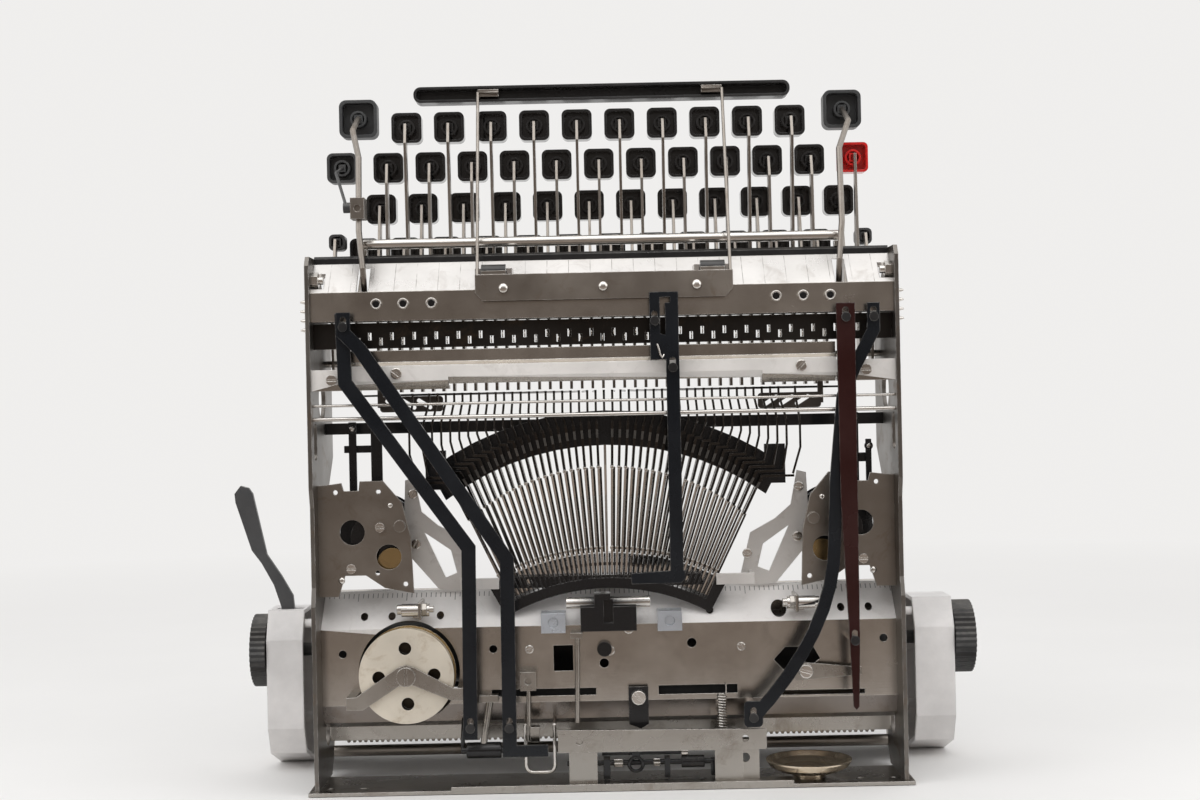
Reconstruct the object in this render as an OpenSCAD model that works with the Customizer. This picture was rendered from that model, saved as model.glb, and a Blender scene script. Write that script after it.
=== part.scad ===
// Manual typewriter without its casing, standing on its rear edge.
// X runs to the typist's right, Z up towards the spacebar, Y from the underside to the keytops.
// The origin lies on the floor, in the middle, under the near edge of the frame.

/* [Frame] */
// Outer width over the two side plates
frame_w = 252; // [250:0.5:256]
// Thickness of a side plate
side_t = 1.8; // [1.2:0.1:2]
// Height of the side plates above the floor
side_h = 229; // [228:0.5:236]
// Depth of a side plate beside the carriage
side_low_depth = 43; // [40:0.5:44]
// Depth of a side plate beside the keyboard
side_high_depth = 58; // [54:0.5:60]
// Thickness of the folded cross plates
sheet_t = 1.5; // [1:0.1:1.8]
// Length of the base plate along the machine's width
base_w = 257; // [256:0.5:264]
// Depth of the base plate
base_d = 33; // [32:0.5:38]

/* [Keyboard] */
// Distance from one key to the next in a row
key_pitch = 19.05; // [18.8:0.05:19.2]
// Width and height of a key cap
key_size = 13.5; // [12.5:0.1:14]
// Depth of a key cap
key_depth = 7; // [6:0.1:8]
// Corner radius of a key cap
key_corner = 2.7; // [2:0.1:4]
// Wall of a key cap
key_wall = 1.2; // [0.8:0.1:1.6]
// Height of the front letter row
row_a_z = 289; // [288:0.5:290]
// Thickness of a key lever
lever_t = 1.2; // [0.8:0.1:1.3]
// Diameter of the shaft that the key levers turn on
lever_shaft_d = 3; // [2.6:0.1:3.6]
// Length of the spacebar
spacebar_l = 166; // [150:1:176]
// Width of a shift key
shift_size = 17; // [15:0.1:17.5]

/* [Type basket] */
// Number of type bars, an odd number
type_count = 45; // [41:2:45]
// Angle from the first type bar to the last
fan_angle = 52; // [50:0.5:54]
// Distance from the fan's centre to the pivots
pivot_r = 101; // [100:0.5:102]
// Distance from the fan's centre to the tips of the type bars
tip_r = 158; // [156:0.5:159]
// Thickness of a type bar
bar_t = 1.1; // [0.8:0.1:1.2]
// Diameter of the pivot wire
pivot_d = 1.4; // [1.2:0.1:1.6]
// Diameter of the link wires
link_d = 1; // [0.8:0.1:1.1]
// Travel of the basket when a shift key is held
shift_travel = 6; // [5:0.5:6]

/* [Carriage] */
// Diameter of the platen
platen_d = 32; // [30:0.5:32.5]
// Length of the platen's rubber
platen_l = 252; // [240:1:256]
// Diameter of the platen's shaft
platen_shaft_d = 6; // [5:0.1:7]
// Height of the platen's axis above the floor
platen_z = 54; // [53:0.5:55]
// Diameter of a platen knob
knob_d = 33; // [31:0.5:33.5]
// Diameter of a feed roller
roller_d = 9; // [8:0.5:9.5]
// Width over the carriage's end plates
carriage_w = 266; // [264:1:268]
// Diameter of the mainspring drum
drum_d = 40.6; // [39:0.2:42]
// Distance between two teeth of the escapement rack
rack_pitch = 2.54; // [2.4:0.02:2.8]

/* [Clearances] */
// Gap between parts that move past each other
gap = 0.3; // [0.25:0.01:0.35]
// Radial gap of a running fit
fit = 0.05; // [0.02:0.01:0.08]

/* [Hidden] */
$fn = 32;

// Inner face of the side plates
in_x = frame_w / 2 - side_t;
floor_t = 1.5;

// Key lever shaft and the row positions, as height and depth of the cap's underside
shaft_z = 184;
shaft_y = 44;
row_z = [row_a_z, row_a_z - 16.5, row_a_z - 34, row_a_z - 53];
row_y = [41, 50, 60, 70];
row_n = [10, 11, 12, 12];
row_x = [0, 0, key_pitch / 4, -key_pitch / 4];
tail_z = 170.8;

// Fan of the type basket, centred below the floor line
fan_z = -7;
fan_step = fan_angle / (type_count - 1);
mid_bar = (type_count - 1) / 2;
bar_y = 20;
bar_h = 5;
pivot_y = bar_y + bar_h / 2;
wire_y = 17.4;
crank_y = 11;
crank_h = 5.4;
rest_y = 17;
link_y = 10;
link_top_z = 169.4;
// Share of a key lever's place that its link keeps at the front, and the link's outward bow
link_share = 0.75;
link_bow = 2.6;
crank_reach = 13;

// Carriage
platen_y = 62;
rail_y = side_low_depth + 4;
cover_y = rail_y + gap;
cover_x = 138;
cover_w = 16.5;
drum_x = -86.4;
drum_z = 49.8;
channel_y = 15;
channel_face = channel_y - sheet_t;

// Layers of the flat straps on the underside
strap_t = 1.2;
strap_front = -3.9;
strap_back = -2.3;
plate_front = -1.5;

// Spacebar and shift hinges
space_axis = [3, 221];
shift_axis = [13, 206.5];
shift_shaft_d = 4;

function flat(list) = [for (part = list) for (item = part) item];
function dir(a) = [cos(a), sin(a)];
// Distance from the fan's centre for a curve that drops by fall at the last bar
function fan_r(r, fall, a) = r - fall * pow(a / 26, 2);
function fan_pos(r, a) = [r * sin(a), fan_z + r * cos(a)];
function bar_angle(k) = (k - mid_bar) * fan_step;

// Outline of a sheet of thickness t that follows the points, to the left of their way
function seg_n(p, q) = let (d = q - p, l = norm(d)) [-d[1], d[0]] / l;
function mitre(p, i) = let (
    n1 = i > 0 ? seg_n(p[i - 1], p[i]) : seg_n(p[i], p[i + 1]),
    n2 = i < len(p) - 1 ? seg_n(p[i], p[i + 1]) : n1,
    s = n1 + n2) s * 2 / (s * s);
function sheet(p, t) = concat(p, [for (i = [len(p) - 1:-1:0]) p[i] + mitre(p, i) * t]);

// A profile given as depth and height, extruded along X from x0 to x1
module along_x(x0, x1) {
    translate([x0, 0, 0])
        rotate([90, 0, 90])
            linear_extrude(x1 - x0) children();
}

// An outline given as X and height, extruded from depth y0 to y1
module along_y(y0, y1) {
    translate([0, y1, 0])
        rotate([90, 0, 0])
            linear_extrude(y1 - y0) children();
}

module rod_x(x0, x1, y, z, d) {
    translate([x0, y, z]) rotate([0, 90, 0]) cylinder(d = d, h = x1 - x0);
}

module rod_y(x, z, y0, y1, d) {
    translate([x, y1, z]) rotate([90, 0, 0]) cylinder(d = d, h = y1 - y0);
}

// A round bar between two points
module wire(a, b, d, f = 8) {
    v = b - a;
    l = norm(v);
    translate(a)
        rotate([0, acos(v[2] / l), atan2(v[1], v[0])])
            cylinder(d = d, h = l, $fn = f);
}

module rounded(w, h, r) {
    square([w - 2 * r, h], center = true);
    square([w, h - 2 * r], center = true);
    for (x = [-1, 1], y = [-1, 1])
        translate([x * (w / 2 - r), y * (h / 2 - r)]) circle(r, $fn = 24);
}

module mirrored_x() {
    children();
    mirror([1, 0, 0]) children();
}

// Frame

side_profile = [
    [0.5, floor_t], [side_low_depth - 6, floor_t], [side_low_depth, 8], [side_low_depth, 128],
    [side_high_depth, 142], [side_high_depth, 196], [30, side_h - 6], [24, side_h],
    [3, side_h], [0, side_h - 4], [0, 130], [2.5, 122], [2.5, 88], [0, 80], [0, 12]];

module side_plate() {
    along_x(-frame_w / 2, -in_x)
        difference() {
            polygon(side_profile);
            translate([30, 168]) circle(9);
            translate([24, 108]) circle(11);
            translate([28, 74]) circle(5);
            translate([shaft_y, shaft_z + 9]) circle(1.8);
            translate(shift_axis) circle(d = shift_shaft_d + 2 * fit);
            translate([28, 22]) circle(6);
            translate([10, 150]) rounded(8, 16, 3);
        }
}

module left_side_plate() {
    color("dimgray") side_plate();
}

module right_side_plate() {
    color("dimgray") mirror([1, 0, 0]) side_plate();
}

// Front cross plate, folded from a sloping face to an upright one
front_face_y = 2.6;
front_fold = [
    [14, 201], [front_face_y, 201], [front_face_y, 213.5], [15, 226.5], [21, 226.5]];
front_slots = [-102, 102];

space_hinge_x = [-51, 42];
hinge_l = 10.4;
hinge_d = 6.2;
hinge_pin_d = 2.4;

module front_plate() {
    color("gainsboro") {
        difference() {
            along_x(-in_x, in_x) polygon(sheet(front_fold, -sheet_t));
            for (x = [-96, -84.5, -72.5, 74, 85.5, 97])
                rod_y(x, 208.2, front_face_y - 1, front_face_y + 4, 3.2);
            for (x = front_slots)
                translate([x - 2.6, front_face_y - 1, 213.6]) cube([5.2, 16, 10.6]);
            mirrored_x() translate([-in_x - 1, 1, 215.2]) cube([6.6, 10, 7.6]);
        }
        for (x = space_hinge_x) {
            for (e = [x - gap - 2.4, x + hinge_l + gap])
                along_x(e, e + 2.4)
                    polygon([[space_axis[0] - 1.7, space_axis[1] - 1.4], [8.6, 219.6], [11.2, 222.4],
                        [space_axis[0] - 1.7, 222.4]]);
            rod_x(x - gap - 1, x + hinge_l + gap + 1, space_axis[0], space_axis[1], hinge_pin_d);
        }
    }
}

rail_top = 230;

module front_rail() {
    color([0.15, 0.12, 0.11])
        along_x(-in_x, in_x)
            polygon([[15.6, 226.5], [20.6, 226.5], [20.6, 229], [19.6, rail_top], [16.6, rail_top], [15.6, 229]]);
}

comb_y = 10;
comb_foot = 189.6;

module lever_comb() {
    color([0.2, 0.19, 0.19])
        difference() {
            union() {
                along_x(-in_x, in_x)
                    polygon(sheet([[comb_y, comb_foot], [comb_y, 199.6]], -sheet_t));
                along_x(-in_x, in_x)
                    polygon([[comb_y, 199], [comb_y, 200.6], [57.5, 200.6], [57.5, 199]]);
            }
            for (k = [-23:23], r = [0, 1])
                if ((k + r) % 2 == 0)
                    translate([k * key_pitch / 4 - 0.75, comb_y - 1, comb_foot + 1.4 + r * 2.2])
                        cube([1.5, 4, 3.2]);
            for (k = [-23:23])
                translate([k * key_pitch / 4 - lever_t / 2 - gap, 33, 198])
                    cube([lever_t + 2 * gap, 23, 4]);
            for (x = [-side_key_x, tab_key_x, side_key_x])
                translate([x - lever_t / 2 - gap, 33, 198]) cube([lever_t + 2 * gap, 23, 4]);
        }
}

bar_fold = [
    [16, 187], [5.5, 187], [5.5, 182.6], [3, 181], [3, 176], [6, 173.2], [12, 173.2]];
step_fold = [
    [16, 187], [5.5, 187], [5.5, 182.6], [3, 181], [3, 177.4], [5, 175.4], [12, 175.4]];

module middle_bar() {
    color("silver") {
        difference() {
            union() {
                along_x(-109, -66) polygon(sheet(bar_fold, -sheet_t));
                along_x(-66, 67.5) polygon(sheet(step_fold, -sheet_t));
                along_x(67.5, 99) polygon(sheet(bar_fold, -sheet_t));
            }
            for (x = [-88, 84]) rod_y(x, 178.5, 0, 8, 2.6);
        }
        for (x = [-in_x, 99])
            translate([x, 3 - sheet_t, 171.6]) cube([x < 0 ? in_x - 109 : in_x - 99, sheet_t, 9]);
        slotted_guide(-1, -97.5, 162);
        slotted_guide(1, 67, 160.4);
    }
}

guide_plate_y = 20;
guide_plate_l = 27.5;

// Plate with three diagonal slots, hung from the middle bar outside the link wires
module slotted_guide(side, x0, z0) {
    difference() {
        along_y(guide_plate_y, guide_plate_y + 1.2)
            translate([x0 + guide_plate_l / 2, z0 + 3.4]) rounded(guide_plate_l, 6.8, 1.6);
        for (i = [0:2])
            along_y(guide_plate_y - 1, guide_plate_y + 3)
                translate([x0 + 5.6 + i * 6.9, z0 + 3.4])
                    rotate(side * 32) rounded(7.4, 1.8, 0.8);
    }
    lug_x = side < 0 ? x0 - 1 : x0 + guide_plate_l - 1.4;
    along_x(lug_x, lug_x + 2.4)
        polygon([[11, 173.2], [11, 171.7], [guide_plate_y, 171.7], [guide_plate_y, z0 + 2],
            [guide_plate_y + 1.2, z0 + 2], [guide_plate_y + 1.2, 173.2]]);
}

front_tube_y = 18;
front_tube_z = 235;
rod_z = [165.3, 159.5];

module cross_rods() {
    color("lightgray") {
        rod_x(-in_x, in_x, shaft_y, shaft_z, lever_shaft_d);
        rod_x(-103, 103, front_tube_y, front_tube_z, 4.4);
        for (x = [-103, 101.2])
            translate([x, front_tube_y - 2.2, rail_top])
                cube([1.8, 4.4, front_tube_z - 2.2 - gap - rail_top]);
        rod_x(-in_x, in_x, 4, rod_z[0], 1.2);
        rod_x(-in_x, in_x, 4, rod_z[1], 1.8);
    }
}

module rear_tie_bar() {
    color([0.12, 0.12, 0.12])
        along_x(-in_x, in_x) translate([38, 152.5]) square([3, 5]);
}

// Rear channel with the sloping scale face
channel_fold = [
    [33, 82.4], [30, 82], [channel_y, 68], [channel_y, 36], [18, 29], [24, 26.4], [33, 26.4]];

module rear_channel() {
    color("silver")
        difference() {
            along_x(-in_x, in_x) polygon(sheet(channel_fold, -sheet_t));
            for (p = [[-115, 58, 1.7], [-50, 59, 1.7], [-2.2, 52, 2], [35.7, 60, 2], [118.5, 60.4, 1.7]])
                rod_y(p[0], p[1], channel_y - 2, channel_y + 4, 2 * p[2]);
            for (p = [[-106, 1.6], [-94, 1.6], [-73, 1.6], [44, 1.6], [74, 3.4], [101, 1.6], [113, 1.6]])
                rod_y(p[0], 73.4, channel_y - 2, channel_y + 16, 2 * p[1]);
            translate([-24, channel_y - 2, 49]) cube([8.4, 6, 11]);
            translate([-51, channel_y - 2, 38.4]) cube([45, 6, 3]);
            translate([21, channel_y - 2, 38]) cube([34, 6, 3.8]);
            translate([74, channel_y - 2, 36.6]) cube([36, 6, 2]);
            along_y(channel_y - 2, channel_y + 6)
                polygon([[71, 52], [76, 57.4], [88, 57.4], [91, 52], [84, 47], [75, 47.6]]);
            rod_y(drum_x, drum_z, channel_y - 2, channel_y + 6, drum_d + 3);
        }
}

module carriage_rail() {
    color("lightgray") {
        along_x(-in_x, in_x)
            polygon([[33.4, 17], [38, 17], [38, 20.5], [rail_y - gap, 20.5], [rail_y - gap, 23.5],
                [38, 23.5], [38, 25], [33.4, 25]]);
        along_x(-in_x, in_x)
            polygon([[36.4, 76], [41.4, 76], [41.4, 70], [rail_y - gap, 70], [rail_y - gap, 73],
                [44.4, 73], [44.4, 81.6], [36.4, 81.6]]);
    }
}

// Base plate, on which the machine stands
module base_plate() {
    color("gray")
        difference() {
            union() {
                translate([-base_w / 2, -1.5, 0]) cube([base_w, base_d, floor_t]);
                translate([-68, -1.5, 0]) cube([145, 8, 3]);
            }
            for (x = [-120, -106, 106, 120]) translate([x, 6, -1]) cylinder(d = 3.6, h = 4);
            translate([-10, 18, -1]) cylinder(d = 6, h = 4);
            translate([60, 24, -1]) cylinder(d = 5, h = 4);
        }
}

module lower_bracket() {
    color("gray") {
        difference() {
            along_y(1, 2.5) polygon([[-22.6, 16], [66, 16], [66, 24.6], [-22.6, 25.6]]);
            rod_y(-13.5, 20.6, 0, 4, 3);
            rod_y(57, 20.6, 0, 4, 3);
        }
        for (x = [-18, 44])
            translate([x, 2.5, 3]) cube([12, 1.5, 20.5]);
        difference() {
            translate([50, 4, 3]) cube([13, 1.5, 13]);
            rod_y(57, 12, 3, 7, 4);
        }
        translate([50, 2.5, 16]) cube([13, 3, 4]);
        for (x = [-18, 44]) translate([x, 2.5, 18]) cube([12, 22.5, 1.5]);
    }
}

bell_x = 85.5;
bell_y = 16;
bell_r = 18.5;

module bell() {
    color("darkgoldenrod")
        translate([bell_x, bell_y, floor_t])
            rotate_extrude($fn = 48)
                polygon([[0, 0], [7, 0], [7, 1], [13, 2.2], [17, 4.2], [bell_r, 6.4],
                    [bell_r, 7], [bell_r - 0.8, 7], [16.3, 5], [12.6, 3.2], [6, 2], [3, 2],
                    [3, 3.2], [0, 3.2]]);
}

// Drawn from the side plate's inner face
module ribbon_outline() {
    difference() {
        polygon([[2.2, 131], [10.2, 132], [11.2, 128.5], [17.7, 128.5], [18.2, 132.6],
            [28.2, 132.6], [36.2, 123], [39.7, 108], [40.7, 84], [28.2, 86.5], [20.2, 92],
            [11.2, 92], [8.2, 83], [0, 83], [0, 131]]);
        translate([14.6, 110.6]) circle(5.4);
        translate([30.2, 99.8]) circle(5.4);
        for (p = [[7.7, 128], [26.2, 128], [25.2, 93], [37.2, 88]]) translate(p) circle(1);
    }
}

ribbon_y = 12;

// Pin that the basket slides on when a shift key is held
guide_x = in_x - 35.2;
guide_z = 113;
guide_d = 3;

module ribbon_plate() {
    along_y(ribbon_y, ribbon_y + sheet_t) translate([-in_x, 0]) ribbon_outline();
    rod_y(-guide_x, guide_z, ribbon_y - 2.4, arm_y + sheet_t + shift_travel + 1.1, guide_d);
    rod_y(-guide_x, guide_z, ribbon_y - 2.4, ribbon_y, 5);
}

module left_ribbon_plate() {
    color("gray") ribbon_plate();
}

module right_ribbon_plate() {
    color("gray") mirror([1, 0, 0]) ribbon_plate();
}

spool_x = in_x - 23.2;
spool_z = 108;

module ribbon_spool() {
    translate([-spool_x, 0, spool_z]) {
        difference() {
            union() {
                rod_y(0, 0, 37, 38, 35);
                rod_y(0, 0, 38, 48, 14);
                rod_y(0, 0, 48, 49, 35);
                rod_y(0, 0, 38.2, 47.8, 30);
                rod_y(0, 0, ribbon_y + sheet_t + gap, 37, 4);
            }
            rod_y(0, 0, 40, 60, 4);
        }
        rod_y(0, 0, 17, 19, 20);
    }
}

module left_ribbon_spool() {
    color([0.1, 0.1, 0.1]) ribbon_spool();
}

module right_ribbon_spool() {
    color([0.1, 0.1, 0.1]) mirror([1, 0, 0]) ribbon_spool();
}

// Mainspring drum and the strap that holds its bolt
drum_front = 2;
drum_back = channel_face - gap;

module mainspring_drum() {
    color("cornsilk")
        difference() {
            union() {
                rod_y(drum_x, drum_z, drum_front + 1, drum_back - 1, drum_d - 2);
                rod_y(drum_x, drum_z, drum_front, drum_front + 1.2, drum_d);
                rod_y(drum_x, drum_z, drum_back - 1.2, drum_back, drum_d);
            }
            rod_y(drum_x, drum_z, -1, 20, 5 + 2 * fit);
            for (a = [0:90:270])
                translate([drum_x + 11.8 * cos(a + 2), 0, drum_z + 11.8 * sin(a + 2)])
                    rod_y(0, 0, drum_front - 1, drum_front + 4, 5.4);
        }
}

module drum_bracket() {
    color("tan") {
        difference() {
            along_y(0.2, 1.6)
                polygon([[-108, 41.4], [-90, 53.6], [-86.4, 54.8], [-82.8, 53.6], [-66.4, 44.6],
                    [-63, 44.6], [-63, 39.4], [-67.4, 39.4], [-84, 46.4], [-88.8, 46.4],
                    [-105, 36], [-108, 36]]);
            rod_y(drum_x, drum_z, -1, 3, 5);
        }
        rod_y(drum_x, drum_z, -0.4, channel_y + 3, 5);
        difference() {
            rod_y(drum_x, drum_z, -1.2, 0.2, 8);
            translate([drum_x - 0.5, -1.6, drum_z - 5]) cube([1, 0.9, 10]);
        }
        translate([-112, 0.2, 36]) cube([4, channel_face - 0.2, 5.4]);
        translate([-63, 0.2, 39.4]) cube([2, channel_face - 0.2, 5.2]);
    }
}

// Escapement: black block on the sloping face, clamps, blade and vertical rods
function slope_pad(y0, z0, z1) = [
    [y0, z0], [channel_face - 0.1, z0], [channel_face - 0.1, 68.6],
    [channel_face - 0.1 + (z1 - 68.8) * 1.05, z1], [y0, z1]];

module escapement() {
    color([0.1, 0.1, 0.11]) {
        difference() {
            union() {
                along_x(-12, 12) polygon(slope_pad(7, 66.5, 77));
                translate([-6, 7, 77]) cube([7, 8, 5.6]);
                rod_x(-18, 18, 10, 78.6, 5);
            }
            translate([-2, 5, 70]) cube([4, 4, 10]);
        }
        for (x = [-29, 21]) {
            difference() {
                along_x(x, x + 10.5) polygon(slope_pad(8, 66, 74.5));
                rod_y(x + 5.2, 70.5, 7, 11, 4.4);
            }
            rod_y(x + 5.2, 70.5, 8.6, 11, 4.2);
        }
        rod_y(-2, 58.4, 10, channel_face, 6.4);
        along_y(10, 11.5) polygon([[8, 42], [16.4, 42], [16.4, 26], [13, 24], [8, 26]]);
        rod_y(12.2, 37.6, 8, channel_face, 6.8);
    }
}

module escapement_rods() {
    color("silver") {
        wire([-14.2, 8, 27.5], [-13.6, 8, 64], 2, 16);
        translate([-16.4, 6, 63.8]) cube([5, channel_face - 6, 2.4]);
        wire([-35, 8, 20], [-35, 8, 46], 1.8, 16);
        difference() {
            translate([-38.4, 5, 42]) cube([6.8, channel_face - 5, 8]);
            rod_y(-35, 46, 4, 7, 3);
        }
        wire([-55, 9, 17], [-51.6, 9, 37.4], 3, 16);
        translate([-56, 7.4, 37]) cube([8, channel_face - 7.4, 3]);
        translate([-34.4, 5.6, 20]) cube([4, 4.8, 6.4]);
        along_y(8, 9.2)
            polygon([[77, 46.5], [82, 51.6], [86, 51], [108, 48.8], [108, 45.6], [90, 44.4], [80, 43.5]]);
        rod_y(84, 47.6, 6.8, channel_face, 6.4);
    }
}

// Coil spring beside the tab brake, one unbroken tube along a helix with straight hooks
coil_x = 48;
coil_y = 11;
coil_top = 40;
coil_len = 14;
coil_r = 1.9;
coil_wire = 0.7;
coil_turns = 12;
coil_steps = 8;
coil_n = coil_turns * coil_steps;
function coil_point(i) = let (a = i * 360 / coil_steps)
    [coil_x + coil_r * cos(a), coil_y + coil_r * sin(a), coil_top - 2 - coil_len * i / coil_n];
coil_path = concat(
    [[coil_x + coil_r, coil_y, coil_top + 2.2]],
    [for (i = [0:coil_n]) coil_point(i)],
    [[coil_x + coil_r, coil_y, coil_top - 2 - coil_len - 2.4]]);
function tangent(p, i) = let (
    a = p[max(i - 1, 0)],
    b = p[min(i + 1, len(p) - 1)]) (b - a) / norm(b - a);
// Direction square to t that turns as little as possible from u
function carried(u, t) = let (v = u - (u * t) * t) v / norm(v);
function sides_along(p) = let (t0 = tangent(p, 0)) [for (
    i = 0, u = carried(abs(t0[0]) < 0.9 ? [1, 0, 0] : [0, 1, 0], t0);
    i < len(p);
    i = i + 1, u = i < len(p) ? carried(u, tangent(p, i)) : u) u];
function ring(c, t, u, r, n) = let (v = cross(t, u))
    [for (k = [0:n - 1]) c + r * (cos(k * 360 / n) * u + sin(k * 360 / n) * v)];
coil_gap = min([for (i = [0:coil_n - coil_steps])
    norm(coil_point(i) - coil_point(i + coil_steps)) - coil_wire]);
echo(least_gap_between_curls = coil_gap);

module tube_along(path, d, n = 6) {
    m = len(path);
    u = sides_along(path);
    points = flat([for (i = [0:m - 1]) ring(path[i], tangent(path, i), u[i], d / 2, n)]);
    sides = flat([for (i = [0:m - 2]) flat([for (k = [0:n - 1])
        let (a = i * n + k, b = i * n + (k + 1) % n) [[a, b + n, b], [a, a + n, b + n]]])]);
    caps = concat(
        [for (k = [1:n - 2]) [0, k, k + 1]],
        [for (k = [1:n - 2]) [(m - 1) * n, (m - 1) * n + k + 1, (m - 1) * n + k]]);
    polyhedron(points, concat(sides, caps));
}

module brake_spring() {
    color("silver") tube_along(coil_path, coil_wire);
}

// Screws, nuts and stops on the frame
module slotted_screw(x, z, y, d, h) {
    difference() {
        rod_y(x, z, y - h, y, d);
        translate([x - d / 2 - 0.5, y - h - 0.5, z - d * 0.08])
            cube([d + 1, h * 0.5 + 0.5, d * 0.16]);
    }
}

module side_screws() {
    for (z = [198, 202, 206, 210])
        translate([-frame_w / 2 - 3.4, 9, z])
            rotate([0, 90, 0]) cylinder(d1 = 0.8, d2 = 3, h = 3.4);
    for (p = [[16, 222], [20, 88], [34, 88], [44, 150]])
        translate([-frame_w / 2 - 2.2, p[0], p[1]])
            rotate([0, 90, 0]) cylinder(d = 6, h = 2.2, $fn = 6);
    translate([-in_x, 7, 219]) rotate([0, 90, 0]) cylinder(d = 7, h = 3.2, $fn = 6);
    translate([-in_x + 3.2, 7, 219]) rotate([0, 90, 0]) cylinder(d = 3.4, h = 2);
}

module frame_screws() {
    color("silver") {
        mirrored_x() side_screws();
        slotted_screw(-115.5, 176.2, 3 - sheet_t, 4.6, 1.4);
        slotted_screw(111.5, 176.2, 3 - sheet_t, 4.6, 1.4);
        for (p = [[-97.6, 112.6], [-110.2, 95]]) {
            slotted_screw(p[0], p[1], ribbon_y, 4.2, 1.4);
            slotted_screw(-p[0], p[1], ribbon_y, 4.2, 1.4);
        }
        studs();
        for (x = [-83, 83]) {
            rod_x(x - 6, x + 6, 12.5, 76.6, 5.6);
            rod_x(x - 8, x - 6, 12.5, 76.6, 3.6);
            translate([x - 1.5, 13.5, 73.2]) cube([3, 4.7, 3]);
        }
    }
}

// Curved link from each key lever's tail down to its crank
function grid_k(k) = k == 0 ? -mid_bar - 1 : k == type_count - 1 ? mid_bar + 1 : k - mid_bar;
function lever_x(k) = grid_k(k) * key_pitch / 4;
function crank_tip(k) = fan_pos(fan_r(tip_r + 5, 9, bar_angle(k)), bar_angle(k));
function reach(k) = sign(k - mid_bar) * crank_reach * pow(abs(k - mid_bar) / mid_bar, 3);
function link_x(k) = lever_x(k) * link_share;

module link(k) {
    tip = crank_tip(k);
    low_x = tip[0] + reach(k);
    bow_x = (link_x(k) + low_x) / 2 + (k - mid_bar) / mid_bar * link_bow;
    top_z = link_top_z - 3;
    low_z = tip[1] + 0.8;
    tube_along([[lever_x(k), 43, link_top_z], [link_x(k), link_y + 0.9, link_top_z]], link_d, 6);
    tube_along([[link_x(k), link_y, link_top_z + 0.5], [link_x(k), link_y, top_z],
        [bow_x, link_y, (2 * top_z + low_z) / 3], [bow_x, link_y, (top_z + 2 * low_z) / 3],
        [low_x, link_y, low_z]], link_d, 6);
}

module link_wires() {
    color([0.12, 0.11, 0.11]) for (k = [0:type_count - 1]) link(k);
}

// Type basket, carried on the two arms

module radial(a) {
    translate([0, 0, fan_z]) rotate([0, a, 0]) children();
}

segment_foot = fan_z + pivot_r - 9.4;

module segment() {
    color([0.07, 0.07, 0.08]) {
        difference() {
            translate([0, 16, fan_z])
                rotate([-90, 0, 0])
                    rotate([0, 0, -90 - fan_angle / 2 - 3])
                        rotate_extrude(angle = fan_angle + 6, $fn = 120)
                            translate([pivot_r, 0])
                                polygon([[-10, 0], [3.5, 0], [5, 2], [5, 11], [-3, 11],
                                    [-5, 7], [-10, 7]]);
            for (k = [0:type_count - 1])
                radial(bar_angle(k))
                    translate([-bar_t / 2 - 0.12, 15, pivot_r - 5.5]) cube([bar_t + 0.24, 20, 12]);
            along_x(-60, 60)
                polygon([[8, 60], [12.9, 69.3], [28.4, 83.8], [36, 85], [40, 60]]);
        }
        translate([0, pivot_y, fan_z])
            rotate([-90, 0, 0])
                rotate([0, 0, -90 - fan_angle / 2 - 2])
                    rotate_extrude(angle = fan_angle + 4, $fn = 120)
                        translate([pivot_r, 0]) circle(d = pivot_d, $fn = 16);
        difference() {
            translate([-41, 17, segment_foot]) cube([82, 2.4, 5]);
            for (x = [-34, 34]) rod_y(x, segment_foot + 2.5, 16, 24, 3);
        }
    }
}

module bar_shape() {
    difference() {
        polygon([[bar_y + 0.3, pivot_r - 4.4], [bar_y + bar_h, pivot_r - 4.4],
            [bar_y + bar_h + 0.6, pivot_r + 6], [bar_y + bar_h - 0.4, tip_r - 12],
            [bar_y + bar_h + 3, tip_r - 5], [bar_y + bar_h + 3, tip_r],
            [bar_y + 0.6, tip_r], [bar_y + 0.6, tip_r - 14], [bar_y + 1.6, pivot_r + 30],
            [bar_y - 0.6, pivot_r + 8]]);
        translate([pivot_y, pivot_r]) circle(d = pivot_d + 2 * fit, $fn = 24);
    }
}

module typebar() {
    translate([0, 0, fan_z])
        along_x(-bar_t / 2, bar_t / 2) bar_shape();
    translate([-bar_t, bar_y + bar_h + 3, fan_z + tip_r - 5]) cube([bar_t * 2, 3, 4.6]);
}

module typebars() {
    color("silver")
        for (k = [0:type_count - 1])
            if (k != mid_bar) rotate_fan(k) typebar();
}

module rotate_fan(k) {
    radial(bar_angle(k)) translate([0, 0, -fan_z]) children();
}

module centre_typebar() {
    color("silver") typebar();
}

module connecting_wires() {
    color([0.12, 0.11, 0.11])
        for (k = [0:type_count - 1])
            if (k != mid_bar)
                radial(bar_angle(k))
                    connecting_wire(fan_r(tip_r - 14.2, 7.4, bar_angle(k)));
}

module connecting_wire(top) {
    tube_along([[0.9, wire_y, 106.6], [0.9, wire_y, top - 0.4], [-0.8, wire_y, top]], 0.9, 6);
}

module bell_cranks() {
    color([0.16, 0.14, 0.13])
        for (k = [0:type_count - 1])
            if (k != mid_bar) {
                radial(bar_angle(k)) translate([0, 0, fan_r(0, 9, bar_angle(k))]) crank();
                tip = crank_tip(k);
                side = sign(k - mid_bar);
                translate([side > 0 ? tip[0] - 0.4 : tip[0] + reach(k) - 0.5, link_y - 0.8, tip[1] - 0.5])
                    cube([abs(reach(k)) + 0.9, crank_y + 1.6 - link_y, 1]);
            }
}

module crank() {
    along_x(-0.55, 0.55)
        translate([crank_y, tip_r])
            polygon([[0, 5.4], [0, 2], [3, -1.6], [3, -12], [crank_h, -14], [crank_h, 0], [4, 5.4]]);
}

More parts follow.
